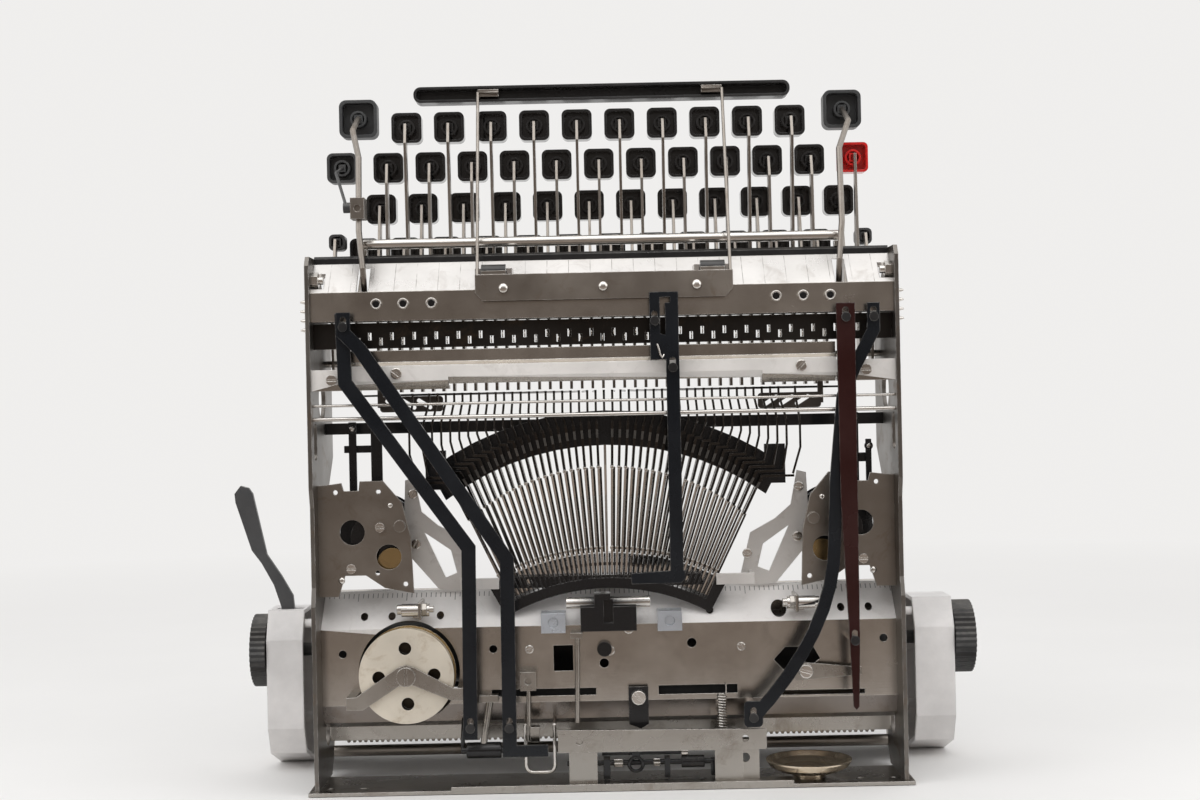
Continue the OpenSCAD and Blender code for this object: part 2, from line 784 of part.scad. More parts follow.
module type_rest() {
    color([0.09, 0.09, 0.1]) {
        translate([0, rest_y, 0]) arc_band(tip_r - 5, tip_r + 10, 4.6, 28, 2.4);
        for (s = [-1, 1])
            translate([s > 0 ? 69 : -78, rest_y, 128]) cube([9, 2.4, 17]);
    }
}

// Flat band between two radii about the fan's centre, raised towards the middle
module arc_band(r0, r1, fall, half, t) {
    steps = 14;
    inner = [for (i = [0:steps])
        let (a = -half + 2 * half * i / steps) fan_pos(fan_r(r0, fall, a), a)];
    outer = [for (i = [steps:-1:0])
        let (a = -half + 2 * half * i / steps) fan_pos(fan_r(r1, fall, a), a)];
    along_y(0, t) polygon(concat(inner, outer));
}

arm_y = 26.4;

module basket_arms() {
    color("lightgray")
        mirrored_x() {
            difference() {
                along_y(arm_y, arm_y + sheet_t) {
                    polygon([[-88, 132], [-84, 133], [-81, 118], [-74, 112], [-63, 106],
                        [-58, 86], [-66, 83], [-74, 84], [-86, 98], [-89, 108]]);
                    translate([-guide_x, guide_z]) circle(5);
                }
                along_y(arm_y - 1, arm_y + 3)
                    polygon([[-80, 109], [-68.5, 101], [-66, 91], [-71, 89]]);
                rod_y(-guide_x, guide_z, arm_y - 1, arm_y + 3, guide_d + 2 * gap);
            }
            translate([-62, 14.5, 84.7]) cube([15, 1.5, 4.8]);
            translate([-63.5, 14.5, 84.7]) cube([1.5, arm_y - 14.5, 4.8]);
        }
}

guide_bar_z = 84.9;

module type_guide() {
    color("lightgray") {
        for (s = [-1, 1]) {
            translate([s > 0 ? 1.1 : -4.5, 44, guide_bar_z]) cube([3.4, 4, 1.8]);
            translate([s > 0 ? 3 : -4.5, 23, guide_bar_z]) cube([1.5, 21.1, 1.8]);
        }
        translate([-4.5, 30, guide_bar_z]) cube([9, 1.5, 1.8]);
    }
}

// Keyboard

module cap(size, depth, corner, wall) {
    difference() {
        along_y(0, depth) rounded(size, size, corner);
        along_y(-1, depth - 2) rounded(size - 2 * wall, size - 2 * wall, corner - wall * 0.6);
        translate([0, depth + size * 1.21, 0]) sphere(size * 1.3, $fn = 40);
    }
    difference() {
        rod_y(0, 0, 0.6, depth - 1.9, 7.4);
        rod_y(0, 0, 0, depth - 3, 5.4);
    }
}

// Socket under a cap that the lever's end stands in
stem_play = 0.15;

module socket(depth, t) {
    difference() {
        translate([-1.8, 0.6, -2]) cube([3.6, depth - 2.5, 4]);
        translate([-t / 2 - stem_play, 0, -1.2]) cube([t + 2 * stem_play, depth - 3.6, 2.4]);
    }
}

module key_cap(x, row) {
    translate([x, row_y[row], row_z[row]]) {
        cap(key_size, key_depth, key_corner, key_wall);
        socket(key_depth, lever_t);
    }
}

// Lever plate from its tail past the shaft to the stem under its cap
module lever_plate(row) {
    y = row_y[row];
    z = row_z[row];
    difference() {
        polygon([
            [shaft_y - 4, tail_z], [shaft_y + 2.6, tail_z], [shaft_y + 4, shaft_z - 4],
            [shaft_y + 4, shaft_z + 6], [y - 4, z - 12], [y - 2, z - 3], [y - 1, z - 1], [y + 3, z - 1],
            [y + 3, z + 1], [y - 6, z + 1], [y - 9, z - 8], [shaft_y - 6, 206],
            [shaft_y - 6, shaft_z + 6], [shaft_y - 4, shaft_z - 4]]);
        translate([shaft_y, shaft_z]) circle(d = lever_shaft_d + 2 * fit, $fn = 24);
    }
}

module key_lever(x, row) {
    along_x(x - lever_t / 2, x + lever_t / 2) lever_plate(row);
}

module one_key(x, row) {
    key_cap(x, row);
    key_lever(x, row);
}

function key_x(row, k) = row_x[row] + (k - (row_n[row] - 1) / 2) * key_pitch;

module key_row(row) {
    color([0.1, 0.1, 0.1])
        for (k = [0:row_n[row] - 1])
            if (abs(key_x(row, k)) > 1) one_key(key_x(row, k), row);
}

module key_row_a() key_row(0);
module key_row_b() key_row(1);
module key_row_c() key_row(2);
module key_row_d() key_row(3);

module centre_key() {
    color([0.1, 0.1, 0.1]) one_key(0, 1);
}

shift_z = 294;
shift_y = 44;
shift_x = [-107.7, 109.7];

module shift_keys() {
    color([0.2, 0.2, 0.2])
        for (x = shift_x)
            translate([x, shift_y, shift_z]) {
                cap(shift_size, 7.5, 3.2, 1.4);
                translate([-2, 0.9, -2]) cube([4, 4.8, 4]);
            }
}

module shift_lever(x, s) {
    foot = s * 102;
    tube_along([[x, shift_y + 0.7, shift_z], [x, 26, shift_z - 8], [foot + s * 1.5, 12, 272],
        [foot + s * 1.5, 8, 240], [foot, 6.6, 224], [foot, shift_axis[0], shift_axis[1] + shift_shaft_d / 2 + 0.2]], 2.6, 8);
}

module shift_levers() {
    color("gray") {
        shift_lever(shift_x[0], -1);
        shift_lever(shift_x[1], 1);
        rod_x(-frame_w / 2 + 0.8, frame_w / 2 - 0.8, shift_axis[0], shift_axis[1], shift_shaft_d);
        difference() {
            translate([-106.6, 4.6, 245]) cube([6, 9, 9]);
            rod_y(-103.6, 249.5, 4, 6, 3);
        }
    }
}

module shift_lock_key() {
    color([0.35, 0.35, 0.36]) {
        translate([-116, 48, 272.6]) {
            cap(13.5, 7, 2.7, 1.2);
            translate([-1.6, 0.9, -1.7]) cube([3.2, 4.2, 3.4]);
        }
        tube_along([[-116, 48.9, 272.6], [-116, 30, 268], [-109.5, 12, 252]], 1.4, 8);
        rod_x(-110.4, -107, 12, 250.5, 4.6);
    }
}

// Function key on the lever shaft
module side_key(x, y, z, w) {
    translate([x, y, z]) {
        cap(w, key_depth, 2.2, 1.1);
        socket(key_depth, lever_t);
    }
    along_x(x - lever_t / 2, x + lever_t / 2)
        difference() {
            polygon([
                [shaft_y - 4, tail_z + 4], [shaft_y + 4, tail_z + 4], [shaft_y + 4, shaft_z + 6],
                [y - 4, z - 6], [y - 1, z - 1], [y + 3, z - 1], [y + 3, z + 1], [y - 6, z + 1],
                [shaft_y - 6, 206], [shaft_y - 6, shaft_z + 6]]);
            translate([shaft_y, shaft_z]) circle(d = lever_shaft_d + 2 * fit, $fn = 24);
        }
}

module tab_key() {
    color("red") side_key(tab_key_x, 50, 273, key_size);
}

side_key_x = 120.4;
tab_key_x = 115.1;

module backspace_key() {
    color([0.35, 0.35, 0.36]) side_key(-side_key_x, 58, 240, 7.4);
}

module margin_release_key() {
    color([0.35, 0.35, 0.36]) side_key(side_key_x, 58, 238, 7.4);
}

// Spacebar, its two wires and the hinged plate
bar_z = 301.6;
space_bar_y = 30;
space_wire_x = [-52.6, 54.6];

module spacebar() {
    color([0.08, 0.08, 0.08])
        difference() {
            along_y(space_bar_y, space_bar_y + 9)
                translate([1.8, bar_z]) rounded(spacebar_l, 7, 3.2);
            along_y(space_bar_y - 1, space_bar_y + 7)
                translate([1.8, bar_z]) rounded(spacebar_l - 2.4, 4.6, 2);
        }
}

module spacebar_frame() {
    color("gray") {
        along_y(plate_front, plate_front + 1.2)
            polygon([[-53.6, 219.6], [-53.6, 212], [-50.6, 208.4], [52.4, 208.4],
                [55.6, 212], [55.6, 219.6]]);
        for (x = [-41.6, 0.6, 40.2]) rod_y(x, 213.6, plate_front - 0.8, plate_front, 3);
        for (x = space_wire_x)
            tube_along([[x, plate_front + 0.7, 219], [x, 27.4, bar_z],
                [x < 0 ? x + 9 : x - 9, 27.4, bar_z]], 1.4, 8);
        for (x = space_wire_x)
            translate([x < 0 ? x : x - 9, 28.2, bar_z - 1.6]) cube([9, 8.6, 3.2]);
        for (x = space_hinge_x)
            difference() {
                union() {
                    translate([x, plate_front + 0.6, 218.6]) cube([hinge_l, 2.6, 2.6]);
                    rod_x(x, x + hinge_l, space_axis[0], space_axis[1], hinge_d);
                }
                rod_x(x - 1, x + hinge_l + 1, space_axis[0], space_axis[1],
                    hinge_pin_d + 2 * fit);
            }
    }
}

// Flat straps on the underside
module strap(y, points, w) {
    along_y(y, y + strap_t)
        polygon(concat([for (i = [0:len(points) - 1]) points[i] + mitre(points, i) * w / 2],
            [for (i = [len(points) - 1:-1:0]) points[i] - mitre(points, i) * w / 2]));
}

strap_travel = 3;
stud_d = 2;
stud_slot = stud_d + 2 * gap;
comb_stud_z = 198.4;
// Studs that carry the straps: X, height, depth of the plate behind, depth of the strap
strap_studs = [
    [-109.4, comb_stud_z, comb_y, strap_front], [-59.3, 28, channel_face, strap_back],
    [-42.7, 28, channel_face, strap_front], [22.1, comb_stud_z, comb_y, strap_front],
    [29.3, 178.6, 3 - sheet_t, strap_front], [102.6, comb_stud_z, comb_y, strap_front],
    [103.7, 62, channel_face, strap_front], [114.6, comb_stud_z, comb_y, strap_back],
    [60.4, 30, channel_face, strap_back]];

// The slots let a strap slide down by its travel
module slotted() {
    difference() {
        children();
        for (p = strap_studs)
            along_y(strap_front - 1, strap_back + strap_t + 1) {
                translate([p[0], p[1]]) circle(d = stud_slot);
                translate([p[0], p[1] + strap_travel]) circle(d = stud_slot);
                translate([p[0] - stud_slot / 2, p[1]]) square([stud_slot, strap_travel]);
            }
    }
}

module studs() {
    for (p = strap_studs) {
        rod_y(p[0], p[1], p[3] - 0.6, p[2], stud_d);
        rod_y(p[0], p[1], p[3] - gap - 1.2, p[3] - gap, stud_d * 2);
        if (p[2] > 10) rod_y(p[0], p[1], p[3] + strap_t + gap, p[2], stud_d * 1.8);
    }
}

module left_outer_strap() {
    color([0.1, 0.12, 0.16])
        slotted()
            strap(strap_back, [[-110.2, 204.4], [-109.3, 175], [-58.6, 104], [-59.4, 23]], 6);
}

module left_inner_strap() {
    color([0.1, 0.12, 0.16])
        slotted() {
            strap(strap_front, [[-109.4, 204.6], [-109.4, 196], [-102.6, 189], [-42.4, 99],
                [-42.8, 20]], 6);
            along_y(strap_front, strap_front + strap_t)
                translate([-45.8, 15.6]) square([19.2, 5]);
        }
}

module spacebar_strap() {
    color([0.06, 0.06, 0.07])
        slotted() {
            strap(strap_front, [[29.3, 206], [29.3, 92]], 5.6);
            along_y(strap_front, strap_front + strap_t)
                difference() {
                    polygon([[19.9, 210.6], [32.1, 210.6], [32.1, 186], [28, 182], [20, 182]]);
                    polygon([[24.3, 193], [28.6, 191.6], [28.6, 208.4], [24.3, 208.4]]);
                }
            along_y(strap_front, strap_front + strap_t)
                polygon([[32.7, 93], [32.7, 89.6], [31, 87.6], [10, 87.6], [10, 92], [27.1, 93]]);
        }
}

module tab_strap() {
    color([0.13, 0.05, 0.05])
        slotted()
            along_y(strap_front, strap_front + strap_t)
                polygon([[98.6, 204.4], [106.6, 204.4], [105.8, 60], [105, 34], [103.8, 32.6],
                    [102.6, 34], [101.6, 60], [99, 120]]);
}

function bow(t) = [58.6 + 37.6 * (1 - pow(1 - t, 2)), 28 + 76 * t];

module right_strap() {
    color([0.06, 0.06, 0.07])
        slotted() {
            strap(strap_back, concat([for (i = [0:8]) bow(i / 8)],
                [[97.4, 130], [101, 165], [106, 177], [114.6, 193], [114.6, 204.4]]), 5.4);
            along_y(strap_back, strap_back + strap_t)
                translate([60.4, 31.4]) rounded(8, 11, 2);
        }
}

// Carriage

roller_r = platen_d / 2 + roller_d / 2 + gap;
roller_a = 25;
roller_y = platen_y + roller_r * sin(roller_a);
roller_z = platen_z - roller_r * cos(roller_a);
roller_shaft_d = 3;
bail_axis = [83, 26];
bail_pin_d = 3;

module end_plate(x) {
    along_x(x, x + 2)
        difference() {
            polygon([[rail_y, 6], [88, 2], [91, 8], [90, 50], [80, 72], [56, 74], [rail_y, 70]]);
            translate([platen_y, platen_z]) circle(d = platen_shaft_d + 2 * fit);
            translate([roller_y, roller_z]) circle(d = roller_shaft_d + 2 * fit);
        }
}

module carriage_frame() {
    inner = carriage_w / 2 - 2;
    color("gray") {
        end_plate(-carriage_w / 2);
        end_plate(inner);
        rod_x(-inner + gap, inner - gap, 51, 9, 5);
        rod_x(-inner + gap, inner - gap, 82, 11, 6);
        along_x(-inner + gap, inner - gap)
            polygon([[rail_y, 20], [rail_y + 2, 20], [rail_y + 2, 33], [rail_y, 33]]);
        along_x(-inner + gap, inner - gap)
            polygon([[rail_y, 67], [rail_y + 1.6, 67], [rail_y + 1.6, 73], [rail_y, 73]]);
        rod_x(-inner, -123.4, bail_axis[0], bail_axis[1], bail_pin_d);
        rod_x(123.4, inner, bail_axis[0], bail_axis[1], bail_pin_d);
    }
}

module escapement_rack() {
    n = floor(240 / rack_pitch);
    color("lightgray")
        along_y(rail_y + 0.2, rail_y + 1.8)
            polygon(concat(
                [[-n * rack_pitch / 2, 19.6]],
                flat([for (i = [0:n - 1]) let (x = (i - n / 2) * rack_pitch)
                    [[x, 15.4], [x + rack_pitch * 0.3, 13.4], [x + rack_pitch * 0.7, 13.4]]]),
                [[n * rack_pitch / 2, 15.4], [n * rack_pitch / 2, 19.6]]));
}

module platen() {
    color([0.07, 0.07, 0.07])
        translate([-platen_l / 2, platen_y, platen_z])
            rotate([0, 90, 0]) cylinder(d = platen_d, h = platen_l, $fn = 64);
    color("silver") rod_x(-161.4, 166.4, platen_y, platen_z, platen_shaft_d);
}

// Ribbed knob, its disc towards the carriage
module knob(x, w) {
    ribs = 40;
    difference() {
        translate([x, platen_y, platen_z])
            rotate([90, 0, 90])
                linear_extrude(w)
                    polygon([for (i = [0:ribs * 2 - 1]) (knob_d / 2 - (i % 2) * 0.7) * dir(i * 180 / ribs)]);
        rod_x(x - 1, x + w + 1, platen_y, platen_z, platen_shaft_d);
    }
}

module platen_knobs() {
    color([0.06, 0.06, 0.06]) {
        knob(-162, 7);
        knob(156.3, 9.4);
    }
}

module end_cover(w) {
    difference() {
        along_x(-cover_x - w, -cover_x)
            polygon([[cover_y, 20], [cover_y + 6, 8], [76, 0], [88, 0], [92, 8], [93, 44], [86, 66],
                [74, 73], [54, 73], [cover_y, 60]]);
        along_x(-cover_x - w + 1.6, -cover_x + 1)
            polygon([[cover_y + 1.8, 21], [cover_y + 7, 9.8], [76.4, 1.8], [87, 1.8], [90.2, 9],
                [91.2, 43.6], [84.6, 64.6], [73.4, 71.2], [54.6, 71.2], [cover_y + 1.8, 59]]);
        rod_x(-cover_x - w - 1, -cover_x + 1, platen_y, platen_z, platen_shaft_d + 1);
    }
    rod_x(-cover_x - w + 1, -carriage_w / 2, 80, 20, 5);
    rod_x(-cover_x - w + 1, -carriage_w / 2, 54, 66.8, 4);
}

module left_end_cover() {
    color("whitesmoke") {
        difference() {
            end_cover(cover_w);
            translate([-151.4, platen_y - 4, 70]) cube([12.2, 4.4, 5]);
        }
        translate([return_x - 3, platen_y + 1, 64]) cube([6, 3, 7.4]);
        rod_y(return_x, return_z, platen_y - 4.2, platen_y + 1.4, return_pin_d);
    }
}

module right_end_cover() {
    color("whitesmoke") mirror([1, 0, 0]) end_cover(cover_w + 1.4);
}

return_x = -146;
return_z = 68;
return_pin_d = 3;

module return_lever() {
    color([0.3, 0.3, 0.31])
        difference() {
            translate([0, platen_y - 3.4, 0])
                along_y(0, 2.6) {
                    polygon([[-143, 68], [-149, 68], [-149.4, 74], [-152.6, 84], [-158, 94],
                        [-162.4, 100], [-169.4, 122], [-169.8, 126], [-167, 129.6],
                        [-163.4, 128.6], [-161.6, 126], [-155.6, 98], [-149, 88], [-144, 79]]);
                    translate([return_x, return_z]) circle(3);
                }
            rod_y(return_x, return_z, platen_y - 5, platen_y + 1, return_pin_d + 2 * fit);
        }
}

module paper_table() {
    color("silver")
        along_x(-carriage_w / 2 + 2, carriage_w / 2 - 2)
            polygon(sheet([[51, 28], [66, 27], [76, 23.6], [94, 10]], -1.2));
}

bail_r = 19.6;
bail_a = 62;

module paper_bail() {
    by = platen_y + bail_r * sin(bail_a);
    bz = platen_z + bail_r * cos(bail_a);
    color("silver") {
        rod_x(-123.8, 123.8, by, bz, 2.6);
        for (x = [-125.6, 124])
            translate([x, 0, 0])
                along_x(0, 1.6)
                    difference() {
                        polygon([[by - 1.8, bz + 2], [by + 2, bz + 2], [86, 48], [86, 24],
                            [84, 22.6], [80.2, 24], [80.6, 46]]);
                        translate(bail_axis) circle(d = bail_pin_d + 2 * fit);
                    }
    }
    color([0.1, 0.1, 0.1])
        for (x = [-50, 45]) rod_x(x, x + 9, by, bz, 6);
}

module feed_rollers() {
    end = carriage_w / 2 - 0.4;
    color("silver") rod_x(-end, end, roller_y, roller_z, roller_shaft_d);
    color([0.15, 0.15, 0.15])
        for (x = [-95, -35, 20, 80]) rod_x(x, x + 18, roller_y, roller_z, roller_d);
}

left_side_plate();
right_side_plate();
front_plate();
front_rail();
lever_comb();
middle_bar();
cross_rods();
rear_tie_bar();
rear_channel();
carriage_rail();
base_plate();
lower_bracket();
bell();
link_wires();
left_ribbon_plate();
right_ribbon_plate();
left_ribbon_spool();
right_ribbon_spool();
drum_bracket();
mainspring_drum();
escapement();
escapement_rods();
brake_spring();
frame_screws();
segment();
typebars();
connecting_wires();
bell_cranks();
type_rest();
basket_arms();
type_guide();
centre_key();
centre_typebar();
key_row_a();
key_row_b();
key_row_c();
key_row_d();
shift_keys();
shift_levers();
shift_lock_key();
tab_key();
backspace_key();
margin_release_key();
spacebar();
spacebar_frame();
left_outer_strap();
left_inner_strap();
spacebar_strap();
tab_strap();
right_strap();
carriage_frame();
platen();
platen_knobs();
left_end_cover();
right_end_cover();
return_lever();
paper_table();
paper_bail();
feed_rollers();
escapement_rack();
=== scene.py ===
"""Finishes, small fittings and studio for a manual typewriter that stands on its rear edge
without its casing. Laid out as an add-on: one operator for each group of like pieces."""

from math import cos, pi, radians, sin

import bpy
from mathutils import Matrix, Vector


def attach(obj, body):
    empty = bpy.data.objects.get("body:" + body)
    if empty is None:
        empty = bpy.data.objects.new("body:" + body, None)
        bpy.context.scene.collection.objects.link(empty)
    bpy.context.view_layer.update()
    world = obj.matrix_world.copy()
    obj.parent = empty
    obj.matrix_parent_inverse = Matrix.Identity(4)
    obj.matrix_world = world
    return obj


bl_info = {
    "name": "Manual typewriter dresser",
    "version": (1, 0, 0),
    "blender": (4, 5, 0),
    "location": "3D View > Sidebar > Typewriter",
    "description": "Gives the typewriter's frame its finishes, fittings and studio",
    "category": "Object",
}

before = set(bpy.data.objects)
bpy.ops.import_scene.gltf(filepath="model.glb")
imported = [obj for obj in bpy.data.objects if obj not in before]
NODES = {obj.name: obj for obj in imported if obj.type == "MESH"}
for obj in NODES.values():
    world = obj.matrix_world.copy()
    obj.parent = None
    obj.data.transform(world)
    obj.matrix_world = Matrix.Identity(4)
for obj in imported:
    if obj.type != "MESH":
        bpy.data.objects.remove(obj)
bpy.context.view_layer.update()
MM = 0.001

# Sizes in millimetres that the steps share
PITCH = 19.05                 # from one key to the next
CAP = 13.5                    # width of a key cap
DRUM_X, DRUM_Z = -86.4, 49.8  # axis of the mainspring drum
SHEET_FACE = 13.5             # depth of the rear channel's nearer face
HOLES_Z = 208.2               # row of holes in the front plate
FAN_Z = -7.0                  # common centre of the type bars
FAN_STEP = radians(52 / 44)   # from one type bar to the next
FAN_HALF = 22                 # type bars on each side of the middle one
LEVER_WIDTH = 0.0016          # in metres; a key's solid that is narrower is its lever


# Settings

def colour_prop(name, description, default):
    return bpy.props.FloatVectorProperty(
        name=name, description=description, subtype="COLOR", size=3,
        default=default, min=0.0, max=1.0)


class TypewriterFinishes(bpy.types.PropertyGroup):
    nickel: colour_prop("Nickel", "Plated sheet steel of the cross plates", (0.60, 0.565, 0.52))
    bright: colour_prop("Bright steel", "Polished type bars and small parts", (0.84, 0.81, 0.77))
    zinc: colour_prop("Zinc", "Dull plated levers and brackets", (0.37, 0.335, 0.30))
    side: colour_prop("Side plates", "Dull plating of the two side plates", (0.22, 0.205, 0.19))
    comb: colour_prop("Comb", "Dark sheet of the lever comb", (0.050, 0.046, 0.043))
    wire: colour_prop("Wire", "Oiled steel of the link wires", (0.085, 0.078, 0.072))
    black: colour_prop("Black oxide", "Segment and escapement", (0.022, 0.022, 0.024))
    strap: colour_prop("Strap paint", "Blue-black enamel of the straps", (0.0045, 0.0060, 0.0085))
    maroon: colour_prop("Maroon paint", "Dark enamel of the tab strap", (0.020, 0.0035, 0.0030))
    key: colour_prop("Key plastic", "Glossy black key caps", (0.012, 0.012, 0.013))
    shift: colour_prop("Shift plastic", "Matt dark shift keys", (0.034, 0.036, 0.038))
    grey: colour_prop("Grey plastic", "Small side keys", (0.045, 0.046, 0.048))
    red: colour_prop("Red plastic", "Tab key", (0.62, 0.012, 0.010))
    cover: colour_prop("Cover paint", "Light grey enamel of the end covers", (0.73, 0.71, 0.70))
    lever: colour_prop("Lever paint", "Dark grey return lever", (0.052, 0.053, 0.056))
    rubber: colour_prop("Rubber", "Platen and rollers", (0.014, 0.014, 0.014))
    bronze: colour_prop("Bell", "Polished bell metal", (0.74, 0.63, 0.48))
    cream: colour_prop("Drum", "Cream plated mainspring drum", (0.76, 0.69, 0.58))


class TypewriterStudio(bpy.types.PropertyGroup):
    lens: bpy.props.FloatProperty(
        name="Lens", description="Focal length of the camera in millimetres",
        default=52.38, min=20.0, max=120.0)
    roll: bpy.props.FloatProperty(
        name="Roll", description="Turn of the camera about its view axis",
        default=radians(-1.2), subtype="ANGLE", unit="ROTATION")
    distance: bpy.props.FloatProperty(
        name="Distance", description="Distance of the camera from the frame's near edge",
        default=0.740, unit="LENGTH")
    height: bpy.props.FloatProperty(
        name="Height", description="Height of the camera over the floor",
        default=0.1655, unit="LENGTH")
    backdrop: colour_prop("Backdrop", "Colour of the floor and the backdrop", (0.868, 0.858, 0.846))
    room: colour_prop("Room", "Dim room behind the camera, as the steel mirrors it",
                      (0.17, 0.140, 0.120))
    key_power: bpy.props.FloatProperty(
        name="Key light", description="Power of the large soft light overhead",
        default=6.2, unit="POWER")


# Node trees

def new_group(name, inputs, outputs):
    """A shader node group with number inputs; an output called Normal is a vector."""
    group = bpy.data.node_groups.new(name, "ShaderNodeTree")
    for label, default in inputs.items():
        socket = group.interface.new_socket(
            label, in_out="INPUT", socket_type="NodeSocketFloat")
        socket.default_value = default
    for label in outputs:
        kind = "NodeSocketVector" if label == "Normal" else "NodeSocketFloat"
        group.interface.new_socket(label, in_out="OUTPUT", socket_type=kind)
    return group, group.nodes.new("NodeGroupInput"), group.nodes.new("NodeGroupOutput")


class Tree:
    """Short way to place and join the nodes of one tree."""

    def __init__(self, tree):
        self.nodes, self.links = tree.nodes, tree.links

    def add(self, kind, links=(), **values):
        node = self.nodes.new("ShaderNode" + kind)
        inputs = values.pop("inputs", {})
        for key, value in values.items():
            setattr(node, key, value)
        for key, value in inputs.items():
            node.inputs[key].default_value = value
        for key, source in dict(links).items():
            self.links.new(source, node.inputs[key])
        return node

    def math(self, operation, a, b=0.5, clamp=False):
        node = self.nodes.new("ShaderNodeMath")
        node.operation, node.use_clamp = operation, clamp
        for slot, value in enumerate((a, b)):
            if isinstance(value, (int, float)):
                node.inputs[slot].default_value = value
            else:
                self.links.new(value, node.inputs[slot])
        return node.outputs[0]

    def times(self, a, b, clamp=False):
        return self.math("MULTIPLY", a, b, clamp)

    def mix(self, mask, a, b):
        """Colour a, and b where the mask is on."""
        node = self.nodes.new("ShaderNodeMix")
        node.data_type = "RGBA"
        self.links.new(mask, node.inputs[0])
        for index, colour in ((6, a), (7, b)):
            if isinstance(colour, bpy.types.NodeSocket):
                self.links.new(colour, node.inputs[index])
            else:
                node.inputs[index].default_value = (*colour[:3], 1.0)
        return node.outputs[2]

    def span(self, value, low, high, to_low=0.0, to_high=1.0):
        """Maps the span from low to high onto another one, and holds it there."""
        return self.add("MapRange", links={"Value": value}, inputs={
            "From Min": low, "From Max": high, "To Min": to_low, "To Max": to_high}).outputs[0]

    def coords(self):
        return self.add("TexCoord").outputs["Object"]

    def axes(self, vector):
        return self.add("SeparateXYZ", links={0: vector}).outputs

    def noise(self, scale, detail, roughness=0.5, distortion=0.0):
        return self.add("TexNoise", links={"Vector": self.coords()}, inputs={
            "Scale": scale, "Detail": detail, "Roughness": roughness,
            "Distortion": distortion}).outputs["Fac"]


def edge_wear_group():
    """Rounded edge normal and a mask of the rubbed edges."""
    group, start, end = new_group(
        "Rubbed edges", {"Radius": 0.0004, "Amount": 1.0}, ("Mask", "Normal"))
    t = Tree(group)
    bevel = t.add("Bevel", samples=4, links={"Radius": start.outputs["Radius"]})
    geometry = t.add("NewGeometry")
    dot = t.add("VectorMath", operation="DOT_PRODUCT",
                links={0: bevel.outputs[0], 1: geometry.outputs["Normal"]})
    edge = t.span(t.math("SUBTRACT", 1.0, dot.outputs["Value"]), 0.015, 0.16)
    patch = t.span(t.noise(210.0, 3.0, 0.65), 0.40, 0.62)
    t.links.new(t.times(t.times(edge, patch), start.outputs["Amount"], clamp=True),
                end.inputs["Mask"])
    t.links.new(bevel.outputs[0], end.inputs["Normal"])
    return group


def grain_group():
    """Fine rolling grain of sheet metal, drawn out along X, with broader clouding."""
    group, start, end = new_group("Sheet grain", {"Scale": 1.0}, ("Grain", "Cloud", "Stain"))
    t = Tree(group)
    stretch = t.add("Mapping", inputs={"Scale": (90.0, 1500.0, 1500.0)},
                    links={"Vector": t.coords()})
    scaled = t.add("VectorMath", operation="SCALE",
                   links={0: stretch.outputs[0], "Scale": start.outputs["Scale"]})
    grain = t.add("TexNoise", inputs={"Scale": 1.0, "Detail": 4.0, "Roughness": 0.7},
                  links={"Vector": scaled.outputs[0]})
    stain = t.noise(95.0, 6.0, 0.72, distortion=0.6)
    t.links.new(grain.outputs["Fac"], end.inputs["Grain"])
    t.links.new(t.noise(26.0, 5.0, 0.6), end.inputs["Cloud"])
    t.links.new(t.span(stain, 0.54, 0.70), end.inputs["Stain"])
    return group


def dust_group():
    """Old dust and oil: specks everywhere, a film on faces that look up."""
    group, start, end = new_group("Workshop dust", {"Amount": 0.5}, ("Film", "Specks"))
    t = Tree(group)
    up = t.axes(t.add("NewGeometry").outputs["Normal"])["Z"]
    cloud = t.noise(70.0, 6.0, 0.7)
    cells = t.add("TexVoronoi", inputs={"Scale": 900.0, "Randomness": 1.0},
                  links={"Vector": t.coords()})
    film = t.times(t.span(up, 0.1, 1.0, 0.15, 1.0), t.span(cloud, 0.35, 0.75))
    specks = t.times(t.span(cells.outputs["Distance"], 0.10, 0.03), t.span(cloud, 0.50, 0.64))
    for label, mask in (("Film", film), ("Specks", specks)):
        t.links.new(t.times(mask, start.outputs["Amount"], clamp=True), end.inputs[label])
    return group


def seen_directly(t):
    """Mask of the rays that should meet the plain backdrop: camera, gloss and glass."""
    path = t.add("LightPath")
    gloss = t.math("MAXIMUM", path.outputs["Is Glossy Ray"], path.outputs["Is Transmission Ray"])
    return t.math("MAXIMUM", path.outputs["Is Camera Ray"], gloss)


def place_group(t, name, build, **values):
    """Places an effect, built at its first use, and gives its outputs."""
    node = t.nodes.new("ShaderNodeGroup")
    node.node_tree = bpy.data.node_groups.get(name) or build()
    for key, value in values.items():
        node.inputs[key].default_value = value
    return node.outputs


def shader(name):
    material = bpy.data.materials.new(name)
    material.use_nodes = True
    t = Tree(material.node_tree)
    return material, t, t.nodes["Principled BSDF"]


def worn_sheet(name, scale, radius, wear, dust):
    """A material with the three effects that metal and enamel share."""
    material, t, bsdf = shader(name)
    grain = place_group(t, "Sheet grain", grain_group, Scale=scale)
    edge = place_group(t, "Rubbed edges", edge_wear_group, Radius=radius, Amount=wear)
    dirt = place_group(t, "Workshop dust", dust_group, Amount=dust)
    return material, t, bsdf, grain, edge, dirt


def join_up(t, bsdf, colour, rough, bump):
    t.links.new(colour, bsdf.inputs["Base Color"])
    t.links.new(rough, bsdf.inputs["Roughness"])
    t.links.new(bump.outputs[0], bsdf.inputs["Normal"])


